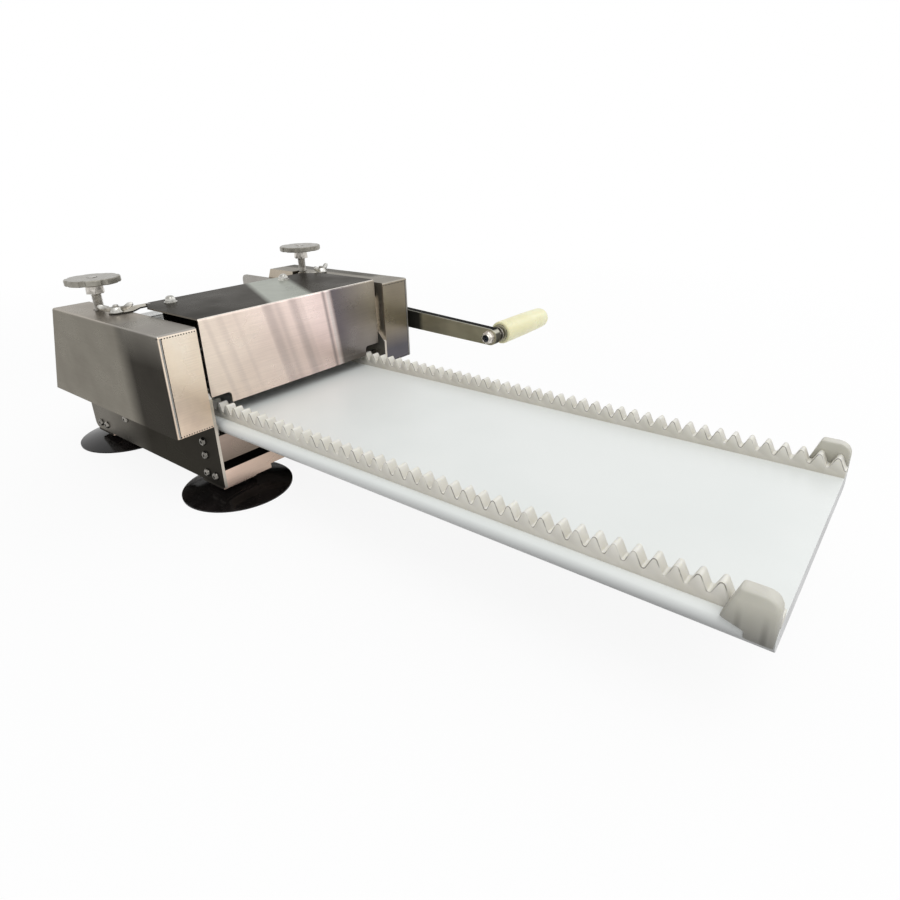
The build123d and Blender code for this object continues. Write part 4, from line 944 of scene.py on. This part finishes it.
root_low, root_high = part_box("arm_screw")
root_middle = (root_low + root_high) / 2
root_screw = bmesh.new()
turned_form(root_screw, [
    (0, 0, 0), (0.0098, 0, 0), (0.0104, 0.0004, 0), (0.0104, 0.0016, 0), (0.0098, 0.002, 0),
    (0.0056, 0.002, 0), (0.0056, 0.0064, 0), (0.005, 0.007, 0), (0.0034, 0.007, 0),
    (0.0028, 0.0064, 6), (0.0028, 0.003, 6), (0, 0.0028, 0)],
    (root_low.x, root_middle.y, root_middle.z), to_right)
fitted("arm_socket_screw", root_screw, nut_zinc, "drive", "zinc_steel", "arm_screw")

# Grip bolt, nut and washers.
# A hexagon-socket bolt goes through the arm's end. A nut locks it, and two washers keep the grip
# off the nut.
bolt_low, bolt_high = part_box("grip_bolt")
bolt_middle = (bolt_low + bolt_high) / 2
bolt_length = bolt_high.x - bolt_low.x
bolt_bore = 0.00405
# The socket inside the head is painted near-black as shade.
socket_painted_shade = clouded_zinc("bolt_socket", (0.02, 0.025, 0.035), (0.05, 0.06, 0.08))
bolt = bmesh.new()
turned_form(bolt, [
    (0, 0.0045, 0), (0.004, 0.0043, 6), (0.004, 0.0006, 6), (0.0044, 0, 0), (0.0051, 0, 0),
    (0.0055, 0.0006, 0), (0.0055, 0.0018, 0), (0.0061, 0.0019, 0), (0.0063, 0.0026, 6),
    (0.0063, 0.0068, 6), (0.0078, 0.0069, 0), (0.0078, 0.008, 0), (0.004, 0.008, 0),
    (0.004, bolt_length - 0.0006, 0), (0.0034, bolt_length, 0), (0, bolt_length, 0)],
    (bolt_low.x, bolt_middle.y, bolt_middle.z), to_right)
hex_bolt = fitted("grip_hex_bolt", bolt, nut_zinc, "drive", "zinc_steel", "grip_bolt")
hex_bolt.data.materials.append(socket_painted_shade)
socket_reach, socket_depth = 0.0041, 0.006
for facet in hex_bolt.data.polygons:
    from_axis = math.hypot(facet.center.y - bolt_middle.y, facet.center.z - bolt_middle.z)
    if from_axis < socket_reach and facet.center.x < bolt_low.x + socket_depth:
        facet.material_index = 1

collar_low, collar_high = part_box("grip_collar")
collar_length = collar_high.x - collar_low.x
washer_length = 0.0019
nut_length = collar_length - washer_length - 0.0002
lock_nut = bmesh.new()
turned_form(lock_nut, [
    (bolt_bore, 0, 0), (0.0062, 0, 0), (0.0065, 0.0005, 6), (0.0065, 0.0055, 6), (0.0062, 0.006, 0),
    (0.0086, 0.0061, 0), (0.0088, 0.0064, 0), (0.0088, 0.0075, 0), (0.006, 0.0077, 0),
    (0.006, nut_length, 0), (bolt_bore, nut_length, 0), (bolt_bore, 0, 0)],
    (collar_low.x, bolt_middle.y, bolt_middle.z), to_right)
bmesh.ops.remove_doubles(lock_nut, verts=lock_nut.verts, dist=1e-7)
fitted("grip_lock_nut", lock_nut, zinc, "drive", "dark_steel", "grip_collar")
washer = bmesh.new()
turned_form(washer, [
    (bolt_bore, 0, 0), (0.0098, 0, 0), (0.0105, 0.0004, 0), (0.0105, 0.0015, 0),
    (0.0098, washer_length, 0), (bolt_bore, washer_length, 0), (bolt_bore, 0, 0)],
    (collar_high.x - washer_length, bolt_middle.y, bolt_middle.z), to_right)
bmesh.ops.remove_doubles(washer, verts=washer.verts, dist=1e-7)
fitted("grip_washer", washer, arm_steel, "drive", "dark_steel", "grip_collar")

# Grip.
# It is turned from cream plastic and polished, slightly thinner towards its rounded end, and it
# spins on the bolt.
cream_plastic, grip_shade, grip_tree = finish("cream_grip", 0.0, 0.3)
grip_cloud = grain(grip_tree, 45.0)
paint(grip_shade, grip_tree,
      mottled(grip_tree, grip_cloud, 0.35, 0.65, (0.83, 0.79, 0.49), (0.88, 0.85, 0.57)),
      between(grip_tree, grain(grip_tree, 30.0), 0.3, 0.7, 0.24, 0.4))
grip_shade.inputs["Subsurface Weight"].default_value = 0.15
grip_shade.inputs["Subsurface Radius"].default_value = (0.004, 0.003, 0.002)
roughen(grip_tree, grip_shade, grain(grip_tree, 60.0), 0.04, 0.0001)
grip_low, grip_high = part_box("grip")
grip_length = grip_high.x - grip_low.x
bore_end = bolt_high.x - grip_low.x + 0.001
handle = bmesh.new()
turned_form(handle, [
    (0, bore_end, 0), (bolt_bore, bore_end, 0), (bolt_bore, 0.0004, 0), (0.0045, 0, 0),
    (0.0118, 0, 0), (0.0126, 0.0003, 0), (0.0132, 0.001, 0), (0.01348, 0.0022, 0),
    (0.0135, 0.004, 0), (0.01345, 0.03, 0), (0.0132, 0.055, 0), (0.0128, 0.075, 0),
    (0.01235, grip_length - 0.008, 0), (0.01205, grip_length - 0.005, 0),
    (0.0114, grip_length - 0.0028, 0), (0.0103, grip_length - 0.0012, 0),
    (0.0086, grip_length - 0.0003, 0), (0.006, grip_length, 0), (0, grip_length, 0)],
    (grip_low.x, bolt_middle.y, bolt_middle.z), to_right, steps=64)
fitted("turned_grip", handle, cream_plastic, "grip", "grip_plastic", "grip", sharp=50)
